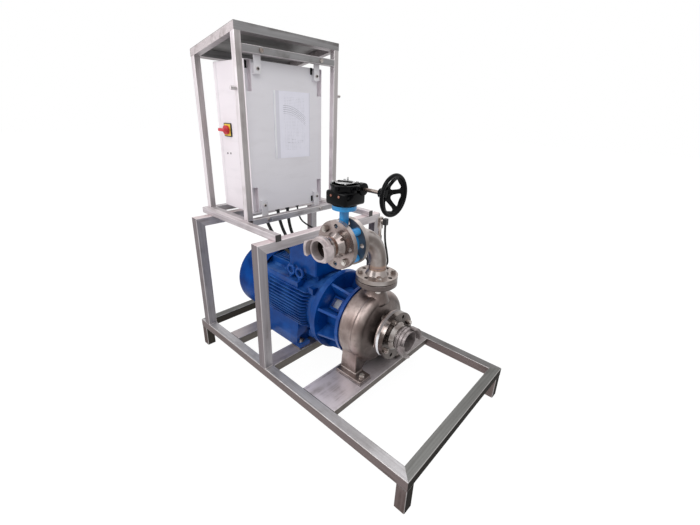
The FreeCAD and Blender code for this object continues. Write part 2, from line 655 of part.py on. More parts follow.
flange_places = list(screw_places(p.motor_flange - 25))
ring_places = list(screw_places(p.ring_radius - 15))
node("drive_end_shield", cut(
    turned([(housing_end - 12, boss), (housing_end - 12, p.bearing_outer),
            (bearing_front + p.bearing_width, p.bearing_outer),
            (bearing_front + p.bearing_width, p.shaft_radius + 2), (p.flange_face, p.shaft_radius + 2),
            (p.flange_face, p.motor_flange), (p.flange_face - p.flange_thick, p.motor_flange),
            (p.flange_face - p.flange_thick, p.shell_radius - 8), (housing_end, p.shell_radius),
            (housing_end, p.shell_inner - 5), (bearing_front + 18, p.shell_inner - 9),
            (bearing_front + 18, boss + 10), (bearing_front + 10, boss)], (0, 0, axis_z)),
    *[rod(p.flange_screw + 1, p.flange_thick, (p.flange_face - p.flange_thick, y, axis_z + z), "x")
      for y, z in flange_places]))
rear_bearing = housing_start - 6
node("rear_end_shield", turned([
    (housing_start, p.shell_radius), (housing_start - 10, p.shell_radius),
    (housing_start - 16, boss + 20), (rear_bearing - 12, boss), (rear_bearing - 12, p.shaft_radius + 2),
    (rear_bearing, p.shaft_radius + 2), (rear_bearing, p.bearing_outer),
    (rear_bearing + p.bearing_width, p.bearing_outer), (rear_bearing + p.bearing_width, boss),
    (housing_start, boss + 20)], (0, 0, axis_z)))

race_bore = p.shaft_radius + p.journal_gap
node("motor_bearings", group(
    ring(p.bearing_outer, race_bore, p.bearing_width, (bearing_front, 0, axis_z), "x"),
    ring(p.bearing_outer, race_bore, p.bearing_width, (rear_bearing, 0, axis_z), "x")))

shaft_end = p.flange_face + 110
shaft_start = rear_bearing - 140
rotor = turned([
    (shaft_start, 0), (shaft_start, 20), (rear_bearing - 14, 20), (rear_bearing - 14, p.shaft_radius),
    (core_start - 20, p.shaft_radius), (core_start - 20, p.rotor_radius - 20), (core_start, p.rotor_radius - 20),
    (core_start, p.rotor_radius), (core_start + core_length, p.rotor_radius),
    (core_start + core_length, p.rotor_radius - 20), (core_start + core_length + 20, p.rotor_radius - 20),
    (core_start + core_length + 20, p.shaft_radius), (p.flange_face, p.shaft_radius),
    (p.flange_face, 27.5), (shaft_end, 27.5), (shaft_end, 0)], (0, 0, axis_z))
node("motor_rotor", rotor)

fan_x = shaft_start + 6
fan_hub = ring(34, 20, 44, (fan_x, 0, axis_z), "x")
fan_disc = ring(135, 33, 4, (fan_x + 36, 0, axis_z), "x")
fan_blade = box((37, 3, 120), (fan_x, -1.5, 32))
fan_blades = [swing(fan_blade, 45 * step) for step in range(8)]
node("motor_fan", fuse(fan_hub, fan_disc, *fan_blades))

# Fan cover: a deep pressed cup with a rounded end and rings of air slots.
cover_end = housing_start + 17
cover_start = cover_end - p.cover_length
cover_inner = p.cover_radius - p.cover_wall
cup = turned([
    (cover_start, 0), (cover_start, p.cover_radius - 40), (cover_start + 40, p.cover_radius, -40),
    (cover_end, p.cover_radius), (cover_end, cover_inner), (cover_start + 40, cover_inner),
    (cover_start + p.cover_wall, p.cover_radius - 40, 37.5), (cover_start + p.cover_wall, 0)], (0, 0, axis_z))
slots = []
for reach, count in ((45, 6), (80, 10), (115, 14)):
    for y, z in circle_places(count, reach):
        slots.append(rod(9, p.cover_wall, (cover_start, y, axis_z + z), "x"))
node("fan_cover", cut(cup, *slots))

# Terminal box on top: a shallow base with the gland holes in its rear wall, and a deep lid.
def tray(size, at, radius, wall, up):
    """A thin-walled box with one open side, rounded along z."""
    floor_gap = (0 if not up else wall)
    inner = [size[0] - 2 * wall, size[1] - 2 * wall, size[2] - wall]
    return cut(rounded(box(size, at), "z", radius),
               box(inner, (at[0] + wall, at[1] + wall, at[2] + floor_gap)))


base_rise = p.box_seam - p.box_base
INLETS = (-50, 0, 50)
inlet_z = p.box_base + base_rise / 2
inlet_holes = [rod(p.gland_radius - 4, p.box_wall, (p.box_start, y, inlet_z), "x") for y in INLETS]
floor_hole = rod(25, p.box_wall, (p.box_start + p.box_length / 2, 0, p.box_base))
case = tray((p.box_length, 2 * p.box_half, base_rise), (p.box_start, -p.box_half, p.box_base), 10, p.box_wall, True)
node("terminal_box", cut(case, *inlet_holes, floor_hole))
node("terminal_lid", tray((p.box_length, 2 * p.box_half, p.box_top - p.box_seam),
                          (p.box_start, -p.box_half, p.box_seam), 10, p.box_wall, False))

eyes = []
eye_seat = axis_z + 138
for x in (-220, -157):
    loop = doc.addObject("Part::Torus", "loop")
    loop.Radius1 = 23
    loop.Radius2 = 7.5
    place(loop, (x, -128, eye_seat + 38), ALONG["y"])
    eyes.append(fuse(loop, rod(11, 12, (x, -128, eye_seat))))
node("lifting_eyes", group(*eyes))

# Blue adapter between motor and pump: flange, hub with two upper windows, eight ribs and the front ring.
adapter_end = p.flange_face + p.adapter_length
hub_start = p.flange_face + p.flange_thick
ring_start = adapter_end - p.ring_width
hub_inner = p.hub_radius - 12
bell = turned([
    (p.flange_face, hub_inner), (p.flange_face, p.motor_flange), (hub_start, p.motor_flange),
    (hub_start, p.hub_radius), (ring_start, p.hub_radius), (ring_start, p.ring_radius),
    (adapter_end, p.ring_radius), (adapter_end, hub_inner)], (0, 0, axis_z))
rib = padded([(hub_start, p.hub_radius - 6), (hub_start, p.motor_flange - 8), (ring_start, p.ring_radius - 6),
              (ring_start, p.hub_radius - 6)], p.rib_thick, (0, p.rib_thick / 2, 0), "y")
ribs = [swing(rib, sign * angle) for angle in (28, 68, 108, 148) for sign in (-1, 1)]
frame_block = box((64, 40, 64), (hub_start + 4, -p.hub_radius - 7, -32))
window_block = box((46, 60, 44), (hub_start + 12, -p.hub_radius - 20, -22))
rims = [swing(frame_block, angle) for angle in (-42, 222)]
windows = [swing(window_block, angle) for angle in (-42, 222)]
inside = rod(hub_inner, p.adapter_length, (p.flange_face, 0, axis_z), "x")
adapter_holes = [rod(p.flange_screw, p.flange_thick, (p.flange_face, y, axis_z + z), "x") for y, z in flange_places]
adapter_holes += [rod(p.ring_screw + 0.5, p.ring_width, (ring_start, y, axis_z + z), "x") for y, z in ring_places]
node("adapter", cut(fuse(bell, *ribs, *rims), fuse(inside, *windows), *adapter_holes))

# Volute casing: outer shell turned, neck and feet added, then the spiral and the bores cut out.
half_step = p.volute_step / 2
radii = [p.volute_base + step * p.volute_step for step in range(4)]
spiral = padded([
    (-half_step, radii[0] - half_step),
    (-half_step - radii[0], -half_step, radii[0]),
    (half_step, -half_step - radii[1], radii[1]),
    (half_step + radii[2], half_step, radii[2]),
    (-half_step, half_step + radii[3], radii[3])], p.volute_width, (p.volute_start, 0, 0), "x")
volute_end = p.volute_start + p.volute_width
shell_end = p.suction_face + 13
outer_shell = turned([
    (adapter_end, 0), (adapter_end, p.drum_radius), (p.drum_end, p.drum_radius),
    (p.drum_end + 1, p.drum_radius - 5), (p.drum_end + 5, p.drum_radius - 5),
    (p.drum_end + 14, p.drum_radius, -7), (p.drum_end + 48, p.drum_radius - 34, -36),
    (p.suction_face - 18, 80), (p.suction_face - 10, 62, 14), (p.suction_face, 62),
    (p.suction_face, p.large_flange - 3), (shell_end, p.large_flange - 3), (shell_end, 0)], (0, 0, axis_z))
neck_top_z = axis_z + p.discharge_height
neck = fuse(rod(45, 120, (p.discharge_x, 0, neck_top_z - 120)),
            cone(64, 45, 50, (p.discharge_x, 0, neck_top_z - 108)),
            rod(p.small_flange, p.pump_flange, (p.discharge_x, 0, neck_top_z - p.pump_flange)))
pump_foot_z = skid_top + p.seat_pad
leg_base = pump_foot_z + p.pump_foot_thick
leg_pieces = []
for sign in (-1, 1):
    far = p.pump_foot_half if sign > 0 else -p.pump_foot_half + p.pump_foot_width
    leg_pieces.append(rounded(box((p.pump_foot_length, p.pump_foot_width, p.pump_foot_thick),
                                  (p.pump_foot_start, far - p.pump_foot_width, pump_foot_z)), "z", 6))
    leg_pieces.append(padded([
        (adapter_end, leg_base), (p.pump_foot_start + 96, leg_base), (p.pump_foot_start + 96, axis_z - 88),
        (adapter_end + 8, axis_z - 88)], 12, (0, sign * 142 + 6, 0), "y"))
    for start in (adapter_end + 8, p.pump_foot_start + 84):
        leg_pieces.append(padded([
            (sign * 148, leg_base), (sign * 142, axis_z - 100), (sign * 60, axis_z - 140), (sign * 104, leg_base)],
            12, (start, 0, 0), "x"))
cover_recess = rod(p.cover_disc, p.cover_thick, (adapter_end, 0, axis_z), "x")
seal_room = rod(p.cover_disc - 26, p.volute_start - adapter_end - p.cover_thick,
                (adapter_end + p.cover_thick, 0, axis_z), "x")
inlet_cone = cone(p.impeller_radius + 7, p.suction_bore, 18, (volute_end, 0, axis_z), "x")
suction = rod(p.suction_bore, shell_end - volute_end - 18, (volute_end + 18, 0, axis_z), "x")
throat = rod(p.port_bore, neck_top_z - axis_z - 112, (p.discharge_x, 0, axis_z + 112))
port_places = list(circle_places(8, p.small_circle, 45))
suction_places = list(circle_places(8, p.large_circle, 22.5))
casing_holes = [rod(p.stud_radius + 1, p.pump_flange, (p.discharge_x + x, y, neck_top_z - p.pump_flange))
                for x, y in port_places]
casing_holes += [rod(p.stud_radius + 1, 13, (p.suction_face, y, axis_z + z), "x") for y, z in suction_places]
casing_holes += [rod(p.ring_screw, 22, (adapter_end, y, axis_z + z), "x") for y, z in ring_places]
casing_holes += [rod(9, p.pump_foot_thick, (x, y, pump_foot_z)) for x, y in pump_bolts]
casing = cut(fuse(outer_shell, neck, *leg_pieces),
             fuse(cover_recess, seal_room, swing(spiral, 13), inlet_cone, suction, throat), *casing_holes)
node("casing", casing)

# Rear cover of the casing with the fixed seal seat.
cover_end_x = adapter_end + p.cover_thick
seat_radius = p.stub_radius + 10
cover = turned([
    (adapter_end, p.stub_radius + 2), (adapter_end, p.cover_disc), (cover_end_x, p.cover_disc),
    (cover_end_x, seat_radius), (cover_end_x - 8, seat_radius), (cover_end_x - 8, p.stub_radius + 2)],
    (0, 0, axis_z))
seal_face = cover_end_x + 3
node("casing_cover", group(cover, ring(seat_radius, p.stub_radius + 2, 11, (cover_end_x - 8, 0, axis_z), "x")))
impeller_back = p.impeller_start - 2
node("shaft_seal", turned([
    (seal_face + p.running_gap, p.stub_radius), (seal_face + p.running_gap, seat_radius - 2),
    (seal_face + 6, seat_radius - 2), (seal_face + 6, p.stub_radius + 5), (impeller_back, p.stub_radius + 5),
    (impeller_back, p.stub_radius)], (0, 0, axis_z)))

# Stub shaft clamped on the motor shaft, with the impeller held by a cap nut.
impeller_front = p.impeller_start + 24
node("pump_shaft", turned([
    (p.flange_face + 20, 27.5), (p.flange_face + 20, 44), (shaft_end - 4, 44), (shaft_end + 12, p.stub_radius + 8),
    (adapter_end - 6, p.stub_radius), (impeller_front, p.stub_radius), (impeller_front, 10),
    (impeller_front + 14, 10), (impeller_front + 14, 0), (shaft_end, 0), (shaft_end, 27.5)], (0, 0, axis_z)))
vane_depth = 44
vane_end = math.radians(-55)
vane_lean = math.radians(4)
vane = padded([
    (34, 0),
    (p.impeller_radius * math.cos(vane_end), p.impeller_radius * math.sin(vane_end), -75),
    (p.impeller_radius * math.cos(vane_end + vane_lean), p.impeller_radius * math.sin(vane_end + vane_lean)),
    (33, p.vane_thick, 81)], vane_depth, (p.impeller_start + 4, 0, 0), "x")
vane_room = turned([
    (p.impeller_start + 5, 20), (impeller_front + 20, 20), (impeller_front + 20, 46),
    (volute_end - 8, p.impeller_radius - 20), (volute_end - 14, p.impeller_radius),
    (p.impeller_start + 5, p.impeller_radius)], (0, 0, axis_z))
hub = turned([
    (impeller_back, p.stub_radius), (impeller_back, 32), (p.impeller_start, 36), (p.impeller_start, p.impeller_radius),
    (p.impeller_start + 6, p.impeller_radius), (p.impeller_start + 8, 50), (impeller_front, 30, 30),
    (impeller_front, p.stub_radius)], (0, 0, axis_z))
vanes = common(fuse(*[swing(vane, 60 * step) for step in range(6)]), vane_room)
bore_tool = rod(p.stub_radius, 60, (impeller_back, 0, axis_z), "x")
cap_nut = cut(turned([
    (impeller_front, 0), (impeller_front, 19), (impeller_front + 14, 19), (impeller_front + 24, 6, -24),
    (impeller_front + 24, 0)], (0, 0, axis_z)),
    rod(10, 14, (impeller_front, 0, axis_z), "x"))
node("impeller", group(cut(fuse(hub, vanes), bore_tool), cap_nut))


def coupling(start, bore, body, length, sign, at, axis, lug_turn):
    """Hose coupling half: a ridged socket, and two hooked lugs that stand past its mouth."""
    def along(value):
        return start + sign * value
    socket = turned([
        (along(0), bore), (along(0), body - 9), (along(length * 0.12), body - 9), (along(length * 0.16), body - 2),
        (along(length * 0.34), body - 2), (along(length * 0.38), body - 6), (along(length * 0.46), body - 6),
        (along(length * 0.5), body), (along(length * 0.72), body), (along(length * 0.76), body - 7),
        (along(length), body - 7), (along(length), bore)], at, axis)
    lug_ring = turned([
        (along(length * 0.5), body - 5), (along(length * 0.5), body + 7), (along(length + 16), body + 11),
        (along(length + 16), body - 1), (along(length + 10), body - 1), (along(length + 10), body + 4),
        (along(length * 0.76), body + 2), (along(length * 0.76), body - 5)], at, axis)
    first = along(length * 0.5 - 1) if sign > 0 else along(length + 17)
    reach = length * 0.5 + 18
    if axis == "x":
        sector = box((reach, 120, 54), (first, 0, -27))
        turn = [place(group(sector), (0, 0, p.shaft_height), Rotation(Vector(1, 0, 0), lug_turn + 180 * side))
                for side in (0, 1)]
    else:
        sector = box((120, reach, 54), (0, first, -27))
        turn = [place(group(sector), at, Rotation(Vector(0, 1, 0), lug_turn + 180 * side)) for side in (0, 1)]
    return fuse(socket, common(lug_ring, group(*turn)))


# Suction side: white gasket and a flanged nozzle that ends in a hose coupling.
gasket_start = shell_end
nozzle_start = gasket_start + p.gasket_thick
node("suction_gasket", cut(ring(p.large_flange, p.suction_bore, p.gasket_thick, (gasket_start, 0, axis_z), "x"),
                           *[rod(p.stud_radius + 1, p.gasket_thick, (gasket_start, y, axis_z + z), "x")
                             for y, z in suction_places]))
mouth_bore = p.suction_bore - 5
nozzle_flange = turned([
    (nozzle_start, mouth_bore), (nozzle_start, p.large_flange), (nozzle_start + 22, p.large_flange),
    (nozzle_start + 22, 66), (nozzle_start + 38, 52), (nozzle_start + 44, 52), (nozzle_start + 44, mouth_bore)],
    (0, 0, axis_z))
suction_coupling = coupling(nozzle_start + 44, mouth_bore, p.suction_bore + 8, 44, 1, (0, 0, axis_z), "x", 35)
node("suction_nozzle", cut(fuse(nozzle_flange, suction_coupling),
                           *[rod(p.stud_radius + 1, 22, (nozzle_start, y, axis_z + z), "x") for y, z in suction_places]))

# Discharge: gasket, elbow with a flange at each end and a boss for the pressure sensor.
elbow_base = neck_top_z + p.gasket_gap
pipe_bore = p.pipe_radius - p.pipe_wall
valve_z = p.bend_base + p.bend_radius
node("discharge_gasket", ring(p.small_circle - p.stud_radius - 4, p.port_bore + 2, p.gasket_gap,
                              (p.discharge_x, 0, neck_top_z)))


def bend(radius):
    item = doc.addObject("Part::Torus", "bend")
    bind(item, "Radius1", p.bend_radius)
    bind(item, "Radius2", radius)
    item.Angle3 = 90
    return place(item, (p.discharge_x, -p.bend_radius, p.bend_base), PADDED["x"])


upright = p.bend_base - elbow_base
rear_face = p.valve_start
level_run = rear_face - p.bend_radius
sensor_seat = valve_z - 20
elbow_outer = fuse(
    turned([(elbow_base, 0), (elbow_base, p.small_flange), (elbow_base + p.flange_plate, p.small_flange),
            (elbow_base + p.flange_plate, 52), (elbow_base + 42, p.pipe_radius + 1), (p.bend_base, p.pipe_radius),
            (p.bend_base, 0)], (p.discharge_x, 0, 0), "z"),
    bend(p.pipe_radius),
    rod(p.pipe_radius, level_run, (p.discharge_x, -rear_face, valve_z), "y"),
    turned([(-rear_face, 0), (-rear_face, p.small_flange), (-rear_face + p.flange_plate, p.small_flange),
            (-rear_face + p.flange_plate, 52), (-p.bend_radius, p.pipe_radius), (-p.bend_radius, 0)],
           (p.discharge_x, 0, valve_z), "y"),
    rod(10, 60, (p.discharge_x, 0, sensor_seat - 60)))
elbow_inner = fuse(
    rod(pipe_bore, upright, (p.discharge_x, 0, elbow_base)), bend(pipe_bore),
    rod(pipe_bore, level_run, (p.discharge_x, -rear_face, valve_z), "y"),
    rod(4, 60, (p.discharge_x, 0, sensor_seat - 60)))
valve_places = list(circle_places(8, p.small_circle, 45))
elbow_holes = [rod(p.stud_radius + 1, p.flange_plate, (p.discharge_x + x, y, elbow_base)) for x, y in port_places]
elbow_holes += [rod(p.stud_radius + 1, p.flange_plate, (p.discharge_x + x, -rear_face, valve_z + z), "y")
                for x, z in valve_places]
node("discharge_elbow", cut(elbow_outer, elbow_inner, *elbow_holes))

# Pressure sensor on the elbow, with the plug of its cable to the side.
sensor_top = sensor_seat + 78
node("pressure_sensor", fuse(
    rod(7, 40, (p.discharge_x, 0, sensor_seat)), hexagon(13, 9, (p.discharge_x, 0, sensor_seat + 32)),
    rod(11.5, sensor_top - sensor_seat - 41, (p.discharge_x, 0, sensor_seat + 41)),
    rod(9, 9, (p.discharge_x + 8, 0, sensor_top - 14), "x")))
plug = rounded(box((18, 20, 26), (p.discharge_x + 17, -10, sensor_top - 27)), "z", 4)

# Butterfly valve: lugged ring body with its neck, rubber liner, and a disc turned by a worm wheel on its stem.
valve_front = p.valve_start + p.valve_width
valve_y = -(p.valve_start + p.valve_width / 2)
liner_outer = p.disc_radius + p.running_gap + p.liner_wall
used = [place_pair for number, place_pair in enumerate(valve_places) if number % 2 == 0]
lug_list = []
for x, z in used:
    lug_list.append(rod(15, p.valve_width - 4, (p.discharge_x + x, -valve_front + 2, valve_z + z), "y"))
    lug_list.append(padded([
        (-12, 40), (12, 40), (12, p.small_circle), (-12, p.small_circle)], p.valve_width - 4,
        (0, valve_y + p.valve_width / 2 - 2, 0), "y"))
    lug_list[-1] = place(group(lug_list[-1]), (p.discharge_x, 0, valve_z),
                         Rotation(Vector(0, 1, 0), math.degrees(math.atan2(num(x), num(z)))))
stem_base = valve_z - p.valve_radius + 12
neck_rise = p.neck_top - valve_z
valve_solid = fuse(
    rod(p.valve_radius, p.valve_width, (p.discharge_x, -valve_front, valve_z), "y"), *lug_list,
    rounded(box((22, 36, neck_rise), (p.discharge_x - 11, valve_y - 18, valve_z)), "z", 7),
    rod(p.neck_flange, p.gear_base - p.neck_top, (p.discharge_x, valve_y, p.neck_top)))
stem_hole = rod(p.stem_radius + p.running_gap, p.gear_base - stem_base, (p.discharge_x, valve_y, stem_base))
body_bore = rod(liner_outer, p.valve_width, (p.discharge_x, -valve_front, valve_z), "y")
stud_holes = [rod(p.stud_radius + 1, p.valve_width, (p.discharge_x + x, -valve_front, valve_z + z), "y")
              for x, z in used]
node("valve_body", cut(valve_solid, fuse(body_bore, stem_hole), *stud_holes))
node("valve_liner", cut(
    rod(liner_outer, p.valve_width, (p.discharge_x, -valve_front, valve_z), "y"),
    fuse(rod(p.disc_radius + p.running_gap, p.valve_width, (p.discharge_x, -valve_front, valve_z), "y"), stem_hole)))
ball = doc.addObject("Part::Sphere", "ball")
bind(ball, "Radius", p.disc_radius)
place(ball, (p.discharge_x, valve_y, valve_z))
wheel_base = p.worm_height - 7
disc_reach = p.disc_radius + 4
disc_blank = fuse(box((2 * disc_reach, p.disc_thick, 2 * disc_reach),
                      (p.discharge_x - disc_reach, valve_y - p.disc_thick / 2, valve_z - disc_reach)),
                  rod(10, 2 * disc_reach, (p.discharge_x, valve_y, valve_z - disc_reach)))
wheel_pitch = p.worm_side - p.worm_radius - p.running_gap
node("valve_disc", fuse(
    common(disc_blank, ball),
    rod(p.stem_radius, p.worm_height - stem_base - 1, (p.discharge_x, valve_y, stem_base + 1)),
    rod(wheel_pitch, 14, (p.discharge_x, valve_y, wheel_base))))

# Worm gearbox: box-shaped housing under a round lid, with the worm tunnel towards the handwheel.
worm_y = valve_y + p.worm_side
gear_solid = fuse(
    rounded(box((72, 108, p.gear_height), (p.discharge_x - 36, valve_y - 51, p.gear_base)), "z", 12),
    rod(p.gear_lid, 22, (p.discharge_x, valve_y, p.gear_base + p.gear_height)),
    rod(16, 86, (p.discharge_x - 34, worm_y, p.worm_height), "x"))
tunnel = fuse(rod(p.worm_radius + 1, 60, (p.discharge_x - 30, worm_y, p.worm_height), "x"),
              rod(7 + p.running_gap, 100, (p.discharge_x, worm_y, p.worm_height), "x"))
wheel_room = rod(wheel_pitch + 3, 16, (p.discharge_x, valve_y, wheel_base - 1))
stem_room = rod(p.stem_radius + p.running_gap, p.worm_height - p.gear_base, (p.discharge_x, valve_y, p.gear_base))
node("gearbox", cut(gear_solid, fuse(tunnel, wheel_room, stem_room)))
worm_end = p.wheel_x - 40
node("worm_shaft", fuse(
    rod(p.worm_radius, 56, (p.discharge_x - 28, worm_y, p.worm_height), "x"),
    rod(7, worm_end - p.discharge_x, (p.discharge_x, worm_y, p.worm_height), "x")))

# Handwheel: dished web with six openings and a round rim.
wheel_tube = 6.5
wheel_in = p.wheel_radius - 2 * wheel_tube
rim = doc.addObject("Part::Torus", "rim")
bind(rim, "Radius1", p.wheel_radius - wheel_tube)
rim.Radius2 = wheel_tube
place(rim, (p.wheel_x, worm_y, p.worm_height), ALONG["x"])
web = turned([
    (worm_end - 18, 7), (worm_end - 18, 15), (worm_end - 2, 17), (p.wheel_x - 2, wheel_in + 4),
    (p.wheel_x + 2, wheel_in + 4), (worm_end + 4, 13), (worm_end + 4, 0), (worm_end, 0), (worm_end, 7)],
    (0, worm_y, p.worm_height))
opening = rounded(padded([(-5, 20), (5, 20), (21, 48), (-21, 48, 53)], 60, (worm_end - 10, 0, 0), "x"), "x", 4)
wheel_gaps = [place(group(opening), (0, worm_y, p.worm_height), Rotation(Vector(1, 0, 0), 60 * step - 47))
              for step in range(6)]
node("handwheel", cut(fuse(web, rim), *wheel_gaps))

# Outlet nozzle: flange, short hub, and a coupling like the one on the suction side.
nozzle_flange_y = -valve_front
outlet_hub = turned([
    (nozzle_flange_y, pipe_bore), (nozzle_flange_y, p.small_flange), (nozzle_flange_y - p.flange_plate, p.small_flange),
    (nozzle_flange_y - p.flange_plate, 50), (nozzle_flange_y - 42, p.pipe_radius), (nozzle_flange_y - 56, p.pipe_radius),
    (nozzle_flange_y - 56, pipe_bore)], (p.discharge_x, 0, valve_z), "y")
outlet_coupling = coupling(nozzle_flange_y - 56, pipe_bore, p.pipe_radius + 11, 50, -1, (p.discharge_x, 0, valve_z), "y", 0)
node("outlet_nozzle", cut(fuse(outlet_hub, outlet_coupling),
                          *[rod(p.stud_radius + 1, p.flange_plate,
                                (p.discharge_x + x, nozzle_flange_y - p.flange_plate, valve_z + z), "y")
                            for x, z in valve_places]))


def bolt(radius, start, grip, at, axis, tail=6):
    """A bolt or stud through a joint, with a nut at each end of the grip."""
    letter = "xyz".index(axis)

    def shifted(value):
        spot = list(at)
        spot[letter] = value
        return tuple(spot)
    nut = radius * 1.6
    depth = radius * 1.4
    return fuse(rod(radius, grip + 2 * depth + tail, shifted(start - depth - tail / 2), axis),
                hexagon(nut, depth, shifted(start - depth), axis),
                hexagon(nut, depth, shifted(start + grip), axis))


# Studs through the flanged joints: every second hole is used, as on the pump.
flange_bolts = [bolt(p.stud_radius, neck_top_z - p.pump_flange, p.pump_flange + p.gasket_gap + p.flange_plate,
                     (p.discharge_x + x, y, 0), "z") for x, y in port_places[::2]]
flange_bolts += [bolt(p.stud_radius, p.suction_face, 13 + p.gasket_thick + 22, (0, y, axis_z + z), "x")
                 for y, z in suction_places[::2]]
flange_bolts += [bolt(p.stud_radius, -valve_front - p.flange_plate, p.valve_width + 2 * p.flange_plate,
                      (p.discharge_x + x, 0, valve_z + z), "y") for x, z in used]
node("flange_bolts", group(*flange_bolts))

# Foot bolts of motor and pump.
machine_bolts = list(cage_bolts)
for x in (p.foot_hole_front, rear_hole):
    for sign in (-1, 1):
        machine_bolts.append(bolt(p.stud_radius, p.foot_height, p.tube_side + p.seat_pad + p.foot_thick,
                                  (x, sign * p.foot_hole_side, 0), "z", 2))
for x, y in pump_bolts:
    machine_bolts.append(bolt(p.stud_radius, skid_top - p.plate_sheet, p.plate_sheet + p.seat_pad + p.pump_foot_thick,
                              (x, y, 0), "z", 2))
node("machine_bolts", group(*machine_bolts))


def screw(radius, start, length, place_pair):
    """A hexagon head screw along x: the head stands before the start, the shank runs on from it."""
    y, z = place_pair
    head = radius * 1.3
    return fuse(rod(radius, length, (start, y, axis_z + z), "x"),
                hexagon(radius * 1.65, head, (start - head, y, axis_z + z), "x"))


# Adapter screws, painted over: from the motor flange into the adapter, and from its ring into the casing.
adapter_screws = [screw(p.flange_screw, p.flange_face - p.flange_thick, 2 * p.flange_thick + 3, pair)
                  for pair in flange_places]
adapter_screws += [screw(p.ring_screw, ring_start, p.ring_width + 21, pair) for pair in ring_places]
node("adapter_screws", group(*adapter_screws))


def gland(cable, wall, at, axis):
    """Cable gland: locknut inside, thread through the wall, nut and cap outside on the cable."""
    outer = p.gland_radius
    return turned([
        (wall + 5, cable), (wall + 5, outer), (wall, outer), (wall, outer - 4), (0, outer - 4), (0, outer),
        (-10, outer), (-10, outer - 2), (-18, outer - 2), (-p.gland_length, cable + 2.5), (-p.gland_length, cable)],
        at, axis)


motor_cord = p.motor_cable / 2
sensor_cord = p.sensor_cable_size / 2
glands = [gland(motor_cord if y != GLAND_SIDES[3] else sensor_cord, p.cab_sheet, (gland_x, y, p.cab_base), "z")
          for y in GLAND_SIDES]
glands += [gland(motor_cord, p.box_wall, (p.box_start, y, inlet_z), "x") for y in INLETS]


def cord(name, points, radius):
    """A cable: straight runs joined by arcs, swept with a round section."""
    corners = [Vector(*[num(value) for value in point]) for point in points]
    edges = []
    start = corners[0]
    length = 0
    radii = []
    for before, corner, after in zip(corners, corners[1:], corners[2:]):
        inward = (corner - before).normalize()
        outward = (after - corner).normalize()
        trim = 0.45 * min(corner.distanceToPoint(before), corner.distanceToPoint(after))
        half_turn = inward.getAngle(outward) / 2
        bend_size = trim / math.tan(half_turn)
        first = corner - inward * trim
        last = corner + outward * trim
        centre = corner + (outward - inward).normalize() * (bend_size / math.cos(half_turn))
        middle = centre + (corner - centre).normalize() * bend_size
        edges.append(Part.LineSegment(start, first).toShape())
        edges.append(Part.Arc(first, middle, last).toShape())
        start = last
        radii.append(round(bend_size, 1))
    edges.append(Part.LineSegment(start, corners[-1]).toShape())
    path = Part.Wire(edges)
    section = Part.Wire(Part.makeCircle(num(radius), corners[0], corners[1] - corners[0]))
    item = doc.addObject("Part::Feature", "cord")
    item.Shape = path.makePipeShell([section], True, False)
    length = path.Length
    share = item.Shape.Volume / (math.pi * num(radius) ** 2 * length)
    print(name, "length", round(length, 1), "arc radii", radii, "volume share", round(share, 4))
    return node(name, item)


inside_z = p.cab_base + 28
box_inside = p.box_start + 16
cord("motor_cable_1", [(gland_x, GLAND_SIDES[0], inside_z), (gland_x, GLAND_SIDES[0], 728),
                       (-350, INLETS[0], inlet_z), (box_inside, INLETS[0], inlet_z)], motor_cord)
cord("motor_cable_2", [(gland_x, GLAND_SIDES[1], inside_z), (gland_x, GLAND_SIDES[1], 722),
                       (-354, INLETS[1], inlet_z), (box_inside, INLETS[1], inlet_z)], motor_cord)
cord("motor_cable_3", [(gland_x, GLAND_SIDES[2], inside_z), (gland_x, GLAND_SIDES[2], 680),
                       (-364, INLETS[2], inlet_z), (box_inside, INLETS[2], inlet_z)], motor_cord)
sensor_start = p.discharge_x + 26
cord("sensor_cable", [
    (sensor_start, 0, sensor_top - 22), (sensor_start, 0, 790), (238, 60, 700), (212, 110, 625), (150, 112, 588),
    (95, 104, 590), (62, 98, 628), (10, 110, 662), (-60, 135, 672), (-150, 150, 665), (-265, 142, 662),
    (-370, 118, 674), (gland_x, GLAND_SIDES[3], 720), (gland_x, GLAND_SIDES[3], inside_z)], sensor_cord)
glands.append(cut(plug, rod(sensor_cord, 5, (sensor_start, 0, sensor_top - 27))))
node("cable_fittings", group(*glands))

doc.recompute()
faulty = [(item.Name, item.Label, item.getStatusString(), [user.Label for user in item.InListRecursive]) for item in doc.Objects
          if "Invalid" in item.State or "Error" in item.State]
if faulty:
    raise RuntimeError("faulty objects: %s" % faulty)
for name, item in nodes.items():
    shape = item.Shape
    if shape.isNull() or not shape.isValid():
        raise RuntimeError("faulty node: " + name)
for name, item in nodes.items():
    item.Shape.exportStep("parts/%s.step" % name)
print(len(nodes), "nodes")
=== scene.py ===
import math

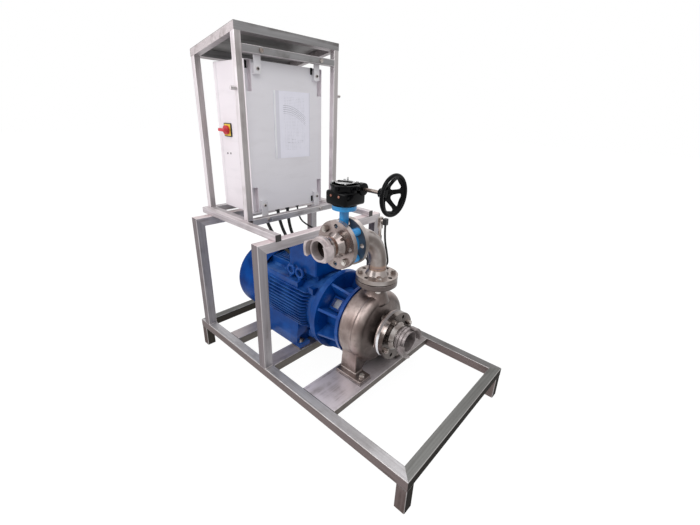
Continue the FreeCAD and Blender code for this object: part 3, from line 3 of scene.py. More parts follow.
import bpy
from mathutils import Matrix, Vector


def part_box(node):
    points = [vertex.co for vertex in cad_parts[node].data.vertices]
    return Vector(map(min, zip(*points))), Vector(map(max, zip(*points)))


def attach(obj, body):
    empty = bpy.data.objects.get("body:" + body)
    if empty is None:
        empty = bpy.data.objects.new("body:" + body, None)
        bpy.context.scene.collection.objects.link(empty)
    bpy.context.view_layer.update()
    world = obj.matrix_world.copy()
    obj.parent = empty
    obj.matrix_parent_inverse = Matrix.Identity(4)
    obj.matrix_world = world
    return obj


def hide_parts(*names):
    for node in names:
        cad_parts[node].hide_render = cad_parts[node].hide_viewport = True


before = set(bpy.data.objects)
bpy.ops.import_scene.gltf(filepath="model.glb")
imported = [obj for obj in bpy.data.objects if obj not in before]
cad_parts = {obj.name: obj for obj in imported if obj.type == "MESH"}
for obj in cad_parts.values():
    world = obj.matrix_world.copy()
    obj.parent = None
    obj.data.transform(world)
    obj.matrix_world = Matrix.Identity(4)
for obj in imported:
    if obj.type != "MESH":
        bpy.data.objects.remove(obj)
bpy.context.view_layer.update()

# Camera: where the photographer stood, in front of the suction side and to the left of the pump,
# at about eye height, with a wide lens held slightly down.
camera = bpy.data.objects.new("camera", bpy.data.cameras.new("camera"))
bpy.context.scene.collection.objects.link(camera)
camera.location = (1.07302625, -1.14588714, 1.26889587)
camera.rotation_euler = [math.radians(angle) for angle in (68.09030933, -2.06043528, 42.35667910)]
camera.data.sensor_width = 36
camera.data.lens = 18.34551614
camera.data.shift_x = -0.00139503
camera.data.shift_y = -0.00897171
camera.data.clip_end = 60
bpy.context.scene.camera = camera
bpy.context.scene.view_settings.view_transform = "Standard"

# Studio: a plain white floor under the feet and a white surround, which metal and glass see too.
# A wide soft lamp hangs over the front, a second one fills from the left and a third from behind and above,
# and the surround does the rest.
FLOOR_REACH = 40.0
SURROUND_LIGHT = 0.55
world = bpy.context.scene.world or bpy.data.worlds.new("studio")
bpy.context.scene.world = world
world.use_nodes = True
surround = world.node_tree.nodes["Background"]


class Wire:
    """One value in a material's nodes: sums and products written on it add their Math nodes."""

    def __init__(self, tree, socket):
        self.tree = tree
        self.socket = socket

    def add(self, kind, settings, inputs, output=0):
        """Add any other node: its settings first, then the values or wires of its sockets."""
        made = self.tree.nodes.new(kind)
        for word, value in settings.items():
            setattr(made, word, value)
        for key, value in inputs.items():
            if isinstance(value, Wire):
                self.tree.links.new(value.socket, made.inputs[key])
            else:
                made.inputs[key].default_value = value
        return Wire(self.tree, made.outputs[output])

    def maths(self, operation, *others):
        return self.add("ShaderNodeMath", {"operation": operation}, dict(enumerate((self, *others))))

    def __add__(self, other):
        return self.maths("ADD", other)

    def __sub__(self, other):
        return self.maths("SUBTRACT", other)

    def __mul__(self, other):
        return self.maths("MULTIPLY", other)

    def __truediv__(self, other):
        return self.maths("DIVIDE", other)

    def __rsub__(self, other):
        return self.add("ShaderNodeMath", {"operation": "SUBTRACT"}, {0: other, 1: self})

    __radd__ = __add__
    __rmul__ = __mul__


def seen_rays(tree):
    """1 for rays that look at the backdrop, straight or by reflection, and 0 for those that light by it."""
    sight = Wire(tree, None).add("ShaderNodeLightPath", {}, {}, "Is Camera Ray")
    glossy, clear = [Wire(tree, sight.socket.node.outputs[word])
                     for word in ("Is Glossy Ray", "Is Transmission Ray")]
    return sight.maths("MAXIMUM", glossy.maths("MAXIMUM", clear))


# Straight or in a reflection the surround is white, and what it lights gets only a part of that.
strength = SURROUND_LIGHT + (1 - SURROUND_LIGHT) * seen_rays(world.node_tree)
world.node_tree.links.new(strength.socket, surround.inputs["Strength"])
surround.inputs["Color"].default_value = (1, 1, 1, 1)

bpy.ops.object.select_all(action="DESELECT")
bpy.ops.mesh.primitive_plane_add(size=FLOOR_REACH, location=(0, 0, -0.0005))
floor = bpy.context.active_object
floor.name = "floor"
floor_paint = bpy.data.materials.new("floor_paint")
floor_paint.use_nodes = True
paper = floor_paint.node_tree.nodes["Principled BSDF"]
paper.inputs["Base Color"].default_value = (0.86, 0.86, 0.86, 1)
paper.inputs["Roughness"].default_value = 0.9
sight = seen_rays(floor_paint.node_tree)
glow = sight.add("ShaderNodeEmission", {}, {"Color": (1, 1, 1, 1), "Strength": 1.1})
lit = Wire(sight.tree, paper.outputs[0])
blend = sight.add("ShaderNodeMixShader", {}, {0: 0.86 * sight, 1: lit, 2: glow})
surface = floor_paint.node_tree.nodes["Material Output"].inputs["Surface"]
floor_paint.node_tree.links.new(blend.socket, surface)
floor.data.materials.append(floor_paint)

LAMPS = {
    # The lamp's place, what it is aimed at, its width in metres and its power in watts.
    "key_lamp": ((1.6, -1.2, 3.0), (0, 0, 0.6), 2.2, 30),
    "side_lamp": ((-0.7, -2.4, 2.1), (-0.4, 0, 1.1), 1.6, 30),
    "top_lamp": ((-0.6, 0.8, 3.2), (-0.1, 0, 0.6), 2.0, 24),
}
for word, (place, aim, width, power) in LAMPS.items():
    lamp = bpy.data.objects.new(word, bpy.data.lights.new(word, "AREA"))
    bpy.context.scene.collection.objects.link(lamp)
    lamp.location = place
    lamp.rotation_euler = (Vector(aim) - Vector(place)).to_track_quat("-Z", "Y").to_euler()
    lamp.data.size = width
    lamp.data.energy = power


# Skid: square stainless tubes, mitred and welded, on four short tube feet, with two flat beams under
# the motor and a folded channel under the pump. The tube keeps its mill grain, drawn out along its run.
def tone(red, green, blue):
    """A colour as it is read off a screen, 0 to 255, in Blender's linear values."""
    return tuple([((level / 255 + 0.055) / 1.055) ** 2.4 if level > 10 else level / 3295
                  for level in (red, green, blue)] + [1.0])


def finish(name, **constants):
    """A new material with its constant sockets set, and the wire of its object coordinates."""
    material = bpy.data.materials.new(name)
    material.use_nodes = True
    shader = material.node_tree.nodes["Principled BSDF"]
    for word, value in constants.items():
        shader.inputs[word.replace("_", " ")].default_value = value
    start = Wire(material.node_tree, None)
    return material, start.add("ShaderNodeTexCoord", {}, {}, "Object")


def feed(material, **wires):
    """Lead wires to the shader's sockets."""
    tree = material.node_tree
    for word, wire in wires.items():
        tree.links.new(wire.socket, tree.nodes["Principled BSDF"].inputs[word.replace("_", " ")])
    return material


def noise(place, scale, detail=3.0, stretch=(1, 1, 1)):
    """Soft cloudy values about 0.5, drawn out along an axis whose stretch is small."""
    spread = place.add("ShaderNodeMapping", {}, {"Vector": place, "Scale": stretch})
    return place.add("ShaderNodeTexNoise", {}, {"Vector": spread, "Scale": scale, "Detail": detail})


def mix(factor, first, second):
    return factor.add("ShaderNodeMix", {"data_type": "RGBA"}, {0: factor, 6: first, 7: second}, 2)


def step(value, low, high):
    """0 below low, 1 above high, and smooth between them."""
    return value.add("ShaderNodeMapRange", {"interpolation_type": "SMOOTHSTEP"},
                     {"Value": value, "From Min": low, "From Max": high})


def bump(height, strength, depth):
    return height.add("ShaderNodeBump", {}, {"Height": height, "Strength": strength, "Distance": depth})


def split(vector):
    """The X, Y and Z of a wire."""
    parts = vector.add("ShaderNodeSeparateXYZ", {}, {"Vector": vector})
    return [Wire(vector.tree, parts.socket.node.outputs[letter]) for letter in "XYZ"]


def facing(place):
    """How far a face looks along X, Y and Z of the object."""
    return split(Wire(place.tree, place.socket.node.outputs["Normal"]))


def sided(place, top, side, end, edge=0.0, back=None, worn=(235, 232, 232)):
    """Painted light and shade: a tone for each way that a face looks, lighter or darker as the light falls on
    it, and a painted highlight on the rounded edges between them.
    """
    across, along, up = facing(place)
    ends = mix(step(across, -0.5, 0.5), tone(*(back or end)), tone(*end))
    across, along, up = across * across, along * along, up * up
    colour = mix(up, mix(across, tone(*side), ends), tone(*top))
    if not edge:
        return colour
    # Painted highlight on the rounded edges, where a face turns from one way to another.
    turn = 4 * (across * along + along * up + up * across)
    return mix(edge * step(turn, 0.15, 0.9), colour, tone(*worn))


def darken(amount, colour, veil):
    """The colour multiplied by a veil, as far as the amount says."""
    return colour.add("ShaderNodeMix", {"data_type": "RGBA", "blend_type": "MULTIPLY"},
                      {0: amount, 6: colour, 7: veil}, 2)


def tube_steel(name, grain, top, side, end, mottle=0.5, lined=0.6, rim=0.8, back=None, far_top=None):
    """Satin stainless tube: streaks and brush lines along one axis, cloudy stains, painted light and shade by
    the way each face looks, and painted highlights on the rounded edges.

    Ends that look away from the suction can have a painted tone of their own, and tops towards the far side a
    painted shade.
    """
    material, place = finish(name, Metallic=0.7, Specular_IOR_Level=0.5 * rim,
                             Specular_Tint=(rim, rim, rim, 1))
    lines = noise(place, 1, 5, [3.0 if letter == grain else 160.0 for letter in "xyz"])
    streaks = noise(place, 1, 4, [2.5 if letter == grain else 42.0 for letter in "xyz"])
    clouds = noise(place, 13, 5)
    specks = noise(place, 90, 3)
    colour = sided(place, top, side, end, 0.5, back)
    # Painted shade on the tops towards the far side.
    if far_top:
        far_tone, start, full = far_top
        across = split(place)[1]
        colour = mix(step(across, start, full), colour, sided(place, far_tone, side, end, 0.5, back))
    stained = darken(1.0, colour, mix(step(clouds, 0.3, 0.62), tone(176, 170, 166), tone(255, 255, 255)))
    aged = mix(mottle * step(streaks, 0.42, 0.66), colour, stained)
    brushed = darken(lined, aged, mix(step(lines, 0.25, 0.75), tone(206, 204, 204), tone(255, 255, 255)))
    return feed(material, Base_Color=brushed, Roughness=0.34 + 0.16 * lines + 0.1 * specks,
                Normal=bump(lines, 0.12, 0.0008))


def dress(material, *words):
    """Give CAD pieces their finish."""
    for word in words:
        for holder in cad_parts[word].material_slots:
            holder.material = material


# Painted light and shade: each finish's tones for tops, sides and ends; the darker far tops of the side tubes
# and of the pump plate are painted shade.
dress(tube_steel("side_tube_steel", "x", (190, 188, 190), (122, 109, 108), (120, 112, 108),
                 far_top=((122, 120, 120), 0.30, 0.34)), "side_tubes")
dress(tube_steel("end_tube_steel", "y", (124, 124, 122), (110, 102, 98), (62, 59, 55), rim=0.15,
                 back=(118, 110, 106)), "end_tubes")
dress(tube_steel("motor_beam_steel", "y", (186, 177, 177), (118, 110, 106), (100, 95, 90), 0.8, 0.25),
      "motor_beams")
dress(tube_steel("foot_steel", "z", (150, 148, 146), (122, 110, 108), (60, 56, 52), rim=0.15,
                 back=(112, 104, 100)), "base_feet")
dress(tube_steel("pump_plate_steel", "y", (220, 212, 217), (120, 114, 112), (104, 98, 94), 0.9, 0.15,
                 far_top=((136, 130, 130), -0.12, 0.10)), "pump_plate")

# Portals: two goal frames of the same tube, mitred at the top, welded on the side tubes;
# two thinner rails lie across them and carry the cage.
# Painted light and shade: the tones for tops, sides and ends of these tubes.
dress(tube_steel("post_steel", "z", (180, 176, 176), (132, 123, 126), (170, 166, 169)), "portal_posts")
dress(tube_steel("portal_beam_steel", "y", (238, 224, 225), (150, 142, 144), (200, 194, 196)), "portal_beams")
dress(tube_steel("rail_steel", "x", (222, 214, 216), (208, 200, 204), (84, 82, 82)), "cabinet_rails")


# Weld beads: each post is welded to the side tube all round. The bead is a thin raised pad under the post,
# and it shows past the post fore and aft.
def settle(word, material, body, edge=0.0008):
    """Put the active piece's place into its mesh, round its edges, and give it its finish and its body."""
    made = bpy.context.active_object
    bpy.ops.object.transform_apply(location=True, rotation=True, scale=True)
    rounding = made.modifiers.new("rounding", "BEVEL")
    rounding.width = edge
    rounding.segments = 3
    rounding.limit_method = "ANGLE"
    bpy.ops.object.modifier_apply(modifier="rounding")
    bpy.ops.object.shade_smooth_by_angle(angle=math.radians(40))
    made.name = word
    made.data.materials.clear()
    made.data.materials.append(material)
    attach(made, body)
    return made


def block(word, size, place, material, body="skid", turn=(0, 0, 0), edge=0.001):
    """A block about its middle."""
    bpy.ops.object.select_all(action="DESELECT")
    bpy.ops.mesh.primitive_cube_add(size=1, location=place, rotation=turn, scale=size)
    return settle(word, material, body, edge)


TUBE_SIDE = 0.045
BEAD_SIZE = (0.049, 0.0448, 0.004)
BEAD_LIFT = 0.001
# The bead's tones for tops, sides and ends are painted light and shade.
bead = tube_steel("bead_steel", "x", (214, 206, 206), (184, 172, 172), (176, 168, 168), 0.9, 0.2)
low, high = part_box("portal_posts")
for row, x in (("rear", low[0]), ("front", high[0] - TUBE_SIDE)):
    for side, y in (("near", low[1]), ("far", high[1] - TUBE_SIDE)):
        block("post_bead_%s_%s" % (row, side), BEAD_SIZE,
              (x + TUBE_SIDE / 2, y + TUBE_SIDE / 2, low[2] + BEAD_LIFT), bead, edge=0.0018)

# Cage: four posts of thin square tube on a base rectangle, welded round the cabinet, with an upper
# crossbar, a sloping top frame and a folded roof sheet.
# Painted light and shade: the tones for tops, sides and ends of the cage tubes and the roof.
dress(tube_steel("cage_post_steel", "z", (190, 186, 188), (240, 232, 236), (178, 173, 173)), "cage_posts")
dress(tube_steel("cage_base_steel", "y", (188, 182, 184), (224, 214, 216), (190, 188, 190), 0.8), "cage_base")
dress(tube_steel("cage_top_steel", "y", (188, 182, 184), (212, 203, 205), (144, 143, 144), 0.8), "cage_top")
dress(tube_steel("roof_steel", "y", (150, 148, 148), (170, 165, 165), (140, 140, 140), 0.8), "roof_sheet")


# Cabinet: folded steel sheet, powder coated light grey with a fine orange peel. Its door faces away from
# the pump, and four zinc plated straps hold its back to the cage.
def cabinet_powder():
    material, place = finish("cabinet_powder", Specular_IOR_Level=0.4)
    peel = noise(place, 420, 2)
    clouds = noise(place, 5, 3)
    smears = noise(place, 1, 4, (6, 6, 26))
    # Painted light and shade: tops, sides and ends each take their own tone as the light falls on them; the
    # clouds only mix two such sets.
    colour = mix(clouds, sided(place, (205, 202, 205), (228, 220, 225), (220, 218, 223)),
                 sided(place, (212, 210, 212), (236, 229, 234), (227, 225, 230)))
    return feed(material, Base_Color=mix(0.12 * step(smears, 0.5, 0.75), colour, tone(178, 172, 176)),
                Roughness=0.42 + 0.12 * peel, Normal=bump(peel, 0.1, 0.0004))


powder = cabinet_powder()
dress(powder, "cabinet_shell", "cabinet_door", "mounting_plate")


def moulded(name, colour, shine, spread=0.12, metallic=0.0, scale=120, gleam=0.5):
    """A moulded, printed or plated surface with faint clouds and fine texture."""
    material, place = finish(name, Metallic=metallic, Specular_IOR_Level=gleam)
    clouds = noise(place, scale / 10, 4)
    grain = noise(place, scale * 4, 3)
    deep = tuple(level * (1 - spread) for level in colour)
    return feed(material, Base_Color=mix(step(clouds, 0.3, 0.7), tone(*deep), tone(*colour)),
                Roughness=shine + 0.12 * grain, Normal=bump(grain, 0.1, 0.0003))


dress(moulded("strap_zinc", (222, 220, 224), 0.35, 0.1, 0.2), "cabinet_straps")
dress(moulded("black_plastic", (22, 22, 24), 0.4, 0.3), "door_lock_lower", "door_lock_upper",
      "cable_fittings", "motor_fan")
dress(moulded("drive_plastic", (150, 152, 155), 0.45), "motor_drive", "switchgear")


# Main switch: a moulded yellow plate with a black frame on the side of the cabinet, and a red handle
# with a round base and a level blade, which turns on the switch's spindle.
def framed_yellow():
    material, place = finish("framed_yellow", Roughness=0.35)
    frame_start, frame_full = 0.0255, 0.0262
    low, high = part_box("switch_plate")
    x, y, z = split(place)
    across = (x - (low[0] + high[0]) / 2).maths("ABSOLUTE")
    up = (z - (low[2] + high[2]) / 2).maths("ABSOLUTE")
    rim = step(across.maths("MAXIMUM", up), frame_start, frame_full)
    grain = noise(place, 600, 2)
    yellow = mix(grain, tone(238, 206, 70), tone(226, 196, 60))
    return feed(material, Base_Color=mix(rim, yellow, tone(24, 24, 26)), Normal=bump(grain, 0.1, 0.0003))


def disc(word, radius, depth, place, axis, material, body="skid", sides=40, edge=0.0008):
    """A round or many-sided piece along one axis, about its middle."""
    turn = {"x": (0, math.pi / 2, 0), "y": (math.pi / 2, 0, 0), "z": (0, 0, 0)}[axis]
    bpy.ops.object.select_all(action="DESELECT")
    bpy.ops.mesh.primitive_cylinder_add(vertices=sides, radius=radius, depth=depth, location=place,
                                        rotation=turn)
    return settle(word, material, body, edge)


KNOB_RADIUS = 0.020
KNOB_DEPTH = 0.014
KNOB_OUT = 0.0075
BLADE_SIZE = (0.056, 0.020, 0.014)
BLADE_ASIDE = 0.004
BLADE_OUT = 0.022
dress(framed_yellow(), "switch_plate")
switch_red = moulded("switch_red", (206, 44, 58), 0.3)
low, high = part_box("switch_handle")
knob_x, knob_z = (low[0] + high[0]) / 2, (low[2] + high[2]) / 2
plate_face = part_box("switch_plate")[0][1]
knob = disc("switch_knob", KNOB_RADIUS, KNOB_DEPTH, (knob_x, plate_face - KNOB_OUT, knob_z), "y",
            switch_red, "main_switch", edge=0.002)
block("switch_blade", BLADE_SIZE, (knob_x - BLADE_ASIDE, plate_face - BLADE_OUT, knob_z), switch_red,
      "main_switch", edge=0.004)
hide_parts("switch_handle")

# Small fittings of the cabinet: two grey blind plugs under the switch, black ends of the spacers beside
# the far straps, a black block that paints the shade deep in the near recess, and black heads in the holes of
# the straps.
PLUG_SPOTS = ((-0.568, -0.2205, 1.066), (-0.540, -0.2205, 1.068))
PLUG_RADIUS = 0.0045
GAP_SIZE = (0.004, 0.026, 0.030)
GAP_DEPTH, GAP_SIDE, GAP_HEIGHT = 0.0275, -0.203, 1.444
SPACER_SIZE = (0.004, 0.011, 0.030)
SPACER_SIDE = 0.150
SPACER_HEIGHTS = {"upper": 1.448, "lower": 0.826}
HEAD_RADIUS = 0.0042
HEAD_OUT = 0.0275
STRAP_SIDE = 0.168
STRAP_HEIGHTS = {"upper": 1.427, "lower": 0.840}
plug_grey = moulded("plug_grey", (96, 92, 96), 0.4)
for number, spot in enumerate(PLUG_SPOTS):
    disc("side_plug_%d" % number, PLUG_RADIUS, 0.003, spot, "y", plug_grey)
dark_trim = moulded("dark_trim", (26, 25, 27), 0.4, 0.3, gleam=0.2)
back_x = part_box("cabinet_shell")[1][0]
# Painted shade: a black block deep in the near recess.
block("recess_shade_block", GAP_SIZE, (back_x - GAP_DEPTH, GAP_SIDE, GAP_HEIGHT), dark_trim)
for level, z in SPACER_HEIGHTS.items():
    block("spacer_end_" + level, SPACER_SIZE, (back_x + 0.0015, SPACER_SIDE, z), dark_trim)
for side, y in (("near", -STRAP_SIDE), ("far", STRAP_SIDE)):
    for level, z in STRAP_HEIGHTS.items():
        disc("strap_head_%s_%s" % (level, side), HEAD_RADIUS, 0.003, (back_x + HEAD_OUT, y, z), "x",
             dark_trim)


# Document sleeve: a clear pocket stuck on the cabinet back with a printed sheet in it, held by a strip
# on its left edge. The print is only thin curves and table lines.
def printed_sheet():
    material, place = finish("printed_sheet", Roughness=0.32, Coat_Weight=0.3, Coat_Roughness=0.12)
    low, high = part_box("document_sleeve")
    middle_y, width = (low[1] + high[1]) / 2, high[1] - low[1]
    x, y, z = split(place)
    ripple = noise(place, 30, 3)
    across = (y - (middle_y + 0.012)) / (0.43 * width)
    aside = across.maths("ABSOLUTE")
    rise = (z - low[2]) / (high[2] - low[2])
    # A fan of falling curves in the upper half.
    fall = rise - 0.80 + 0.10 * (across + 0.6) * (across + 0.6) + 0.01 * ripple
    bands = (fall * 34).maths("FRACT")
    curves = 1 - step(0.5 - (bands - 0.5).maths("ABSOLUTE"), 0.02, 0.10)
    region = step(fall, -0.13, -0.11) * step(0.02 - fall, 0.0, 0.01) * step(0.75 - aside, 0.0, 0.05)
    # Rows of short lines below it, and a faint grid behind.
    rows = 1 - step(0.5 - ((rise * 46).maths("FRACT") - 0.5).maths("ABSOLUTE"), 0.05, 0.16)
    words = step(noise(place, 1, 2, (1, 260, 20)), 0.47, 0.53)
    filled = step(noise(place, 1, 2, (1, 4, 26)), 0.5, 0.56)
    table = (step(rise, 0.2, 0.21) * step(0.47 - rise, 0.0, 0.01) * filled
             * step(0.55 - (across - 0.05).maths("ABSOLUTE"), 0.0, 0.05))
    heading = step(rise, 0.86, 0.865) * step(0.93 - rise, 0.0, 0.005) * step(0.7 - aside, 0.0, 0.05)
    faint = 0.25 * words * rows * step(0.7 - aside, 0.0, 0.05) * step(rise, 0.12, 0.13)
    ink = curves * region * 0.9
    ink = ink.maths("MAXIMUM", 0.9 * words * rows * table)
    ink = ink.maths("MAXIMUM", 0.35 * words * rows * heading)
    ink = ink.maths("MAXIMUM", faint * step(0.93 - rise, 0.0, 0.01))
    margin = step(aside, 0.965, 0.975)
    paper_tone = mix(ripple, tone(226, 225, 236), tone(235, 234, 245))
    sheet = mix(ink, paper_tone, tone(70, 70, 84))
    return feed(material, Base_Color=mix(0.5 * margin, sheet, tone(196, 194, 202)),
                Normal=bump(ripple, 0.12, 0.002))


dress(printed_sheet(), "document_sleeve")
low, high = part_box("document_sleeve")
block("sleeve_strip", (0.003, 0.009, high[2] - low[2]),
      (high[0] + 0.001, low[1] + 0.005, (low[2] + high[2]) / 2),
      moulded("clear_strip", (236, 236, 240), 0.25, 0.06), edge=0.0012)


# Cables: three black rubber motor leads hang from the glands in the cabinet floor to those of the terminal
# box, and a thinner lead runs from the plug of the pressure sensor round the motor to a fourth gland.
ROUTES = {
    # The lead's thickness, its length, and the points of its route, in metres.
    "motor_cable_1": (0.017, 0.3962, [
        (-0.440, -0.120, 0.830), (-0.440, -0.120, 0.728), (-0.350, -0.050, 0.5625),
        (-0.244, -0.050, 0.5625)]),
    "motor_cable_2": (0.017, 0.3907, [
        (-0.440, -0.037, 0.830), (-0.440, -0.037, 0.722), (-0.354, 0.0, 0.5625), (-0.244, 0.0, 0.5625)]),
    "motor_cable_3": (0.017, 0.3987, [
        (-0.440, 0.028, 0.830), (-0.440, 0.028, 0.680), (-0.364, 0.050, 0.5625), (-0.244, 0.050, 0.5625)]),
    "sensor_cable": (0.009, 1.0719, [
        (0.240, 0.0, 0.852), (0.240, 0.0, 0.790), (0.226, 0.049, 0.700), (0.200, 0.099, 0.627),
        (0.150, 0.112, 0.588), (0.095, 0.104, 0.590), (0.062, 0.098, 0.628), (0.010, 0.110, 0.662),
        (-0.060, 0.135, 0.672), (-0.150, 0.150, 0.665), (-0.265, 0.142, 0.662), (-0.370, 0.118, 0.674),
        (-0.440, 0.095, 0.720), (-0.440, 0.095, 0.830)]),
}


def cable_rubber():
    material, place = finish("cable_rubber", Specular_IOR_Level=0.35)
    dust = noise(place, 60, 4)
    scuffs = noise(place, 900, 2)
    return feed(material, Base_Color=mix(step(dust, 0.45, 0.75), tone(16, 16, 18), tone(40, 39, 40)),
                Roughness=0.38 + 0.25 * dust, Normal=bump(scuffs, 0.15, 0.0003))


rubber = cable_rubber()
for word, (thickness, length, points) in ROUTES.items():
    curve = bpy.data.curves.new(word + "_lead", "CURVE")
    curve.dimensions = "3D"
    curve.bevel_depth = thickness / 2
    curve.bevel_resolution = 5
    curve.resolution_u = 12
    curve.use_fill_caps = True
    line = curve.splines.new("NURBS")
    line.points.add(len(points) - 1)
    for spot, point in zip(line.points, points):
        spot.co = (*point, 1)
    line.order_u = 3
    line.use_endpoint_u = True
    curve.materials.append(rubber)
    lead = bpy.data.objects.new(word + "_lead", curve)
    bpy.context.scene.collection.objects.link(lead)
    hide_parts(word)
    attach(lead, "skid")


# Motor: cast housing with cooling fins, sprayed with one coat of blue enamel, like its shields,
# its pressed fan cover and the terminal box.
def blue_enamel(name, wash, dusty=0.22, shine=0.12):
    """Glossy blue with a fine peel: the side sheen is how strongly its flat sides facing the left get a
    painted reflection of the light from there.
    """
    material, place = finish(name, Coat_Weight=0.4 * shine, Coat_Roughness=0.1, Specular_IOR_Level=shine)
    clouds = noise(place, 14, 4)
    peel = noise(place, 260, 3)
    across, along, up = facing(place)
    dust = step(up, 0.3, 1.0) * step(clouds, 0.3, 0.75)
    colour = mix(step(clouds, 0.3, 0.7), tone(0, 50, 120), tone(3, 70, 150))
    # Painted reflection: flat faces looking to the left turn pale blue.
    faded = mix(wash * step(0 - along, 0.75, 1.0) * (0.7 + 0.3 * clouds), colour, tone(84, 134, 196))
    return feed(material, Base_Color=mix(dusty * dust, faded, tone(88, 132, 182)),
                Roughness=0.24 + 0.2 * dust + 0.1 * peel, Normal=bump(peel, 0.25, 0.0008))


FOOT_WEB_SIZE = (0.012, 0.112, 0.120)
FOOT_WEB_X = -0.140
FOOT_WEB_SIDE = 0.118
foot_blue = blue_enamel("housing_enamel", 0.1, 0.4, 0.16)
dress(foot_blue, "motor_housing", "rear_end_shield", "drive_end_shield", "lifting_eyes")
dress(blue_enamel("lid_enamel", 0.06), "terminal_box", "terminal_lid")
dress(blue_enamel("cover_enamel", 0.0, 0.1, 0.03), "fan_cover")
dress(blue_enamel("adapter_enamel", 0.08, 0.2, 0.25), "adapter", "adapter_screws")
housing_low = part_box("motor_housing")[0]
for side, y in (("near", -FOOT_WEB_SIDE), ("far", FOOT_WEB_SIDE)):
    block("foot_web_" + side, FOOT_WEB_SIZE, (FOOT_WEB_X, y, housing_low[2] + FOOT_WEB_SIZE[2] / 2),
          foot_blue, edge=0.002)
dress(moulded("core_steel", (112, 108, 104), 0.45, metallic=0.8), "motor_stator", "motor_rotor",
      "motor_bearings")


# Window guards: two bright thin sheets round the shaft coupling, held behind the two upper windows of the
# adapter.
SHAFT_HEIGHT = 0.360
GUARD_REACH = 0.1035
GUARD_SIZE = (0.062, 0.0015, 0.056)
GUARD_X = 0.061
guard = moulded("guard_sheet", (226, 228, 232), 0.2, 0.2, 0.5)
for side, angle in (("near", math.radians(-42)), ("far", math.radians(222))):
    block("window_guard_" + side, GUARD_SIZE,
          (GUARD_X, -GUARD_REACH * math.cos(angle), SHAFT_HEIGHT - GUARD_REACH * math.sin(angle)), guard,
          turn=(angle, 0, 0), edge=0.0004)


# Pump: cast stainless casing, pickled and blasted, with a warm grey-brown cloudiness, and the cast
# look of soft corners, which a fine voxel skin over the plain solid gives.
def cast_stainless():
    material, place = finish("cast_stainless", Metallic=0.85)
    clouds = noise(place, 9, 5)
    drips = noise(place, 14, 5, (0.8, 0.8, 0.3))
    stains = noise(place, 40, 4)
    grain = noise(place, 420, 3)
    swell = noise(place, 26, 2)
    # Painted light and shade: a tone for each way a face looks, with the ends darkest.
    shade = sided(place, (190, 179, 177), (182, 170, 167), (100, 93, 91))
    shade = darken(1.0, shade, mix(step(clouds, 0.34, 0.64), tone(190, 181, 178), tone(255, 252, 250)))
    shade = darken(0.6, shade, mix(step(drips, 0.36, 0.64), tone(176, 166, 162), tone(255, 254, 252)))
    # The foot and the throat under the discharge flange are darker: painted shade.
    height = split(place)[2] + 0.03 * clouds
    grime = 0.5 * step(0.245 - height, 0.0, 0.05) + 0.55 * step(height, 0.545, 0.59)
    shade = mix(grime, shade, tone(96, 90, 89))
    return feed(material, Base_Color=mix(0.35 * step(stains, 0.56, 0.74), shade, tone(104, 94, 90)),
                Roughness=0.24 + 0.14 * clouds + 0.08 * grain,
                Normal=bump(0.6 * swell + 0.4 * grain, 0.35, 0.003))


casting = cast_stainless()
dress(casting, "casing_cover", "impeller")
bpy.ops.object.select_all(action="DESELECT")
volute = bpy.data.objects.new("casing_casting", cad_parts["casing"].data.copy())
bpy.context.scene.collection.objects.link(volute)
bpy.context.view_layer.objects.active = volute
volute.select_set(True)
bpy.ops.object.mode_set(mode="EDIT")
bpy.ops.mesh.select_all(action="SELECT")
bpy.ops.mesh.remove_doubles(threshold=0.00001)
bpy.ops.mesh.customdata_custom_splitnormals_clear()
bpy.ops.object.mode_set(mode="OBJECT")
skin = volute.modifiers.new("skin", "REMESH")
skin.mode = "VOXEL"
skin.voxel_size = 0.0033
bpy.ops.object.modifier_apply(modifier="skin")
soften = volute.modifiers.new("soften", "SMOOTH")
soften.factor = 0.5
soften.iterations = 4
bpy.ops.object.modifier_apply(modifier="soften")
bpy.ops.object.shade_smooth()
volute.data.materials.clear()
volute.data.materials.append(casting)
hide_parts("casing")
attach(volute, "skid")


# Pipe work: turned flanges and welded fittings, brighter than the casting, with the straw and blue tints
# of the welding heat. The halves of the hose couplings are duller castings.
def pipe_stainless(name, top, side, end, shine, tints=(), age=1.0, cast=None):
    """Turned and welded stainless: each tint is a weld across an axis, with its place and reach."""
    material, place = finish(name, Metallic=0.85)
    clouds = noise(place, 24, 5)
    streaks = noise(place, 7, 5)
    grain = noise(place, 300, 3)
    # Painted light and shade: a tone for each way a face looks, and painted highlights on the rounded edges.
    shade = sided(place, top, side, end, 0.25)
    shade = darken(age, shade, mix(step(clouds, 0.38, 0.6), tone(190, 182, 178), tone(255, 254, 252)))
    shade = darken(age, shade, mix(step(streaks, 0.4, 0.62), tone(176, 168, 164), tone(255, 255, 255)))
    along = dict(zip("XYZ", split(place)))
    for letter, spot, reach in tints:
        away = (along[letter] - spot).maths("ABSOLUTE") + 0.006 * clouds
        shade = mix(0.75 * step(reach - away, 0.0, reach * 0.7), shade, tone(158, 126, 106))
        shade = mix(0.6 * step(0.35 * reach - away, 0.0, 0.2 * reach), shade, tone(110, 104, 118))
    rough = shine + 0.15 * clouds
    if cast:
        # Past this plane lies the coupling half, which is matt cast metal.
        letter, spot, way, deep, pale = cast
        beyond = step(way * (along[letter] - spot), -0.001, 0.001)
        dull = mix(step(clouds, 0.35, 0.65), tone(*deep), tone(*pale))
        shade, rough = mix(beyond, shade, dull), rough + 0.24 * beyond
        feed(material, Metallic=0.85 - 0.4 * beyond)
    return feed(material, Base_Color=shade, Roughness=rough, Normal=bump(grain, 0.12, 0.0005))


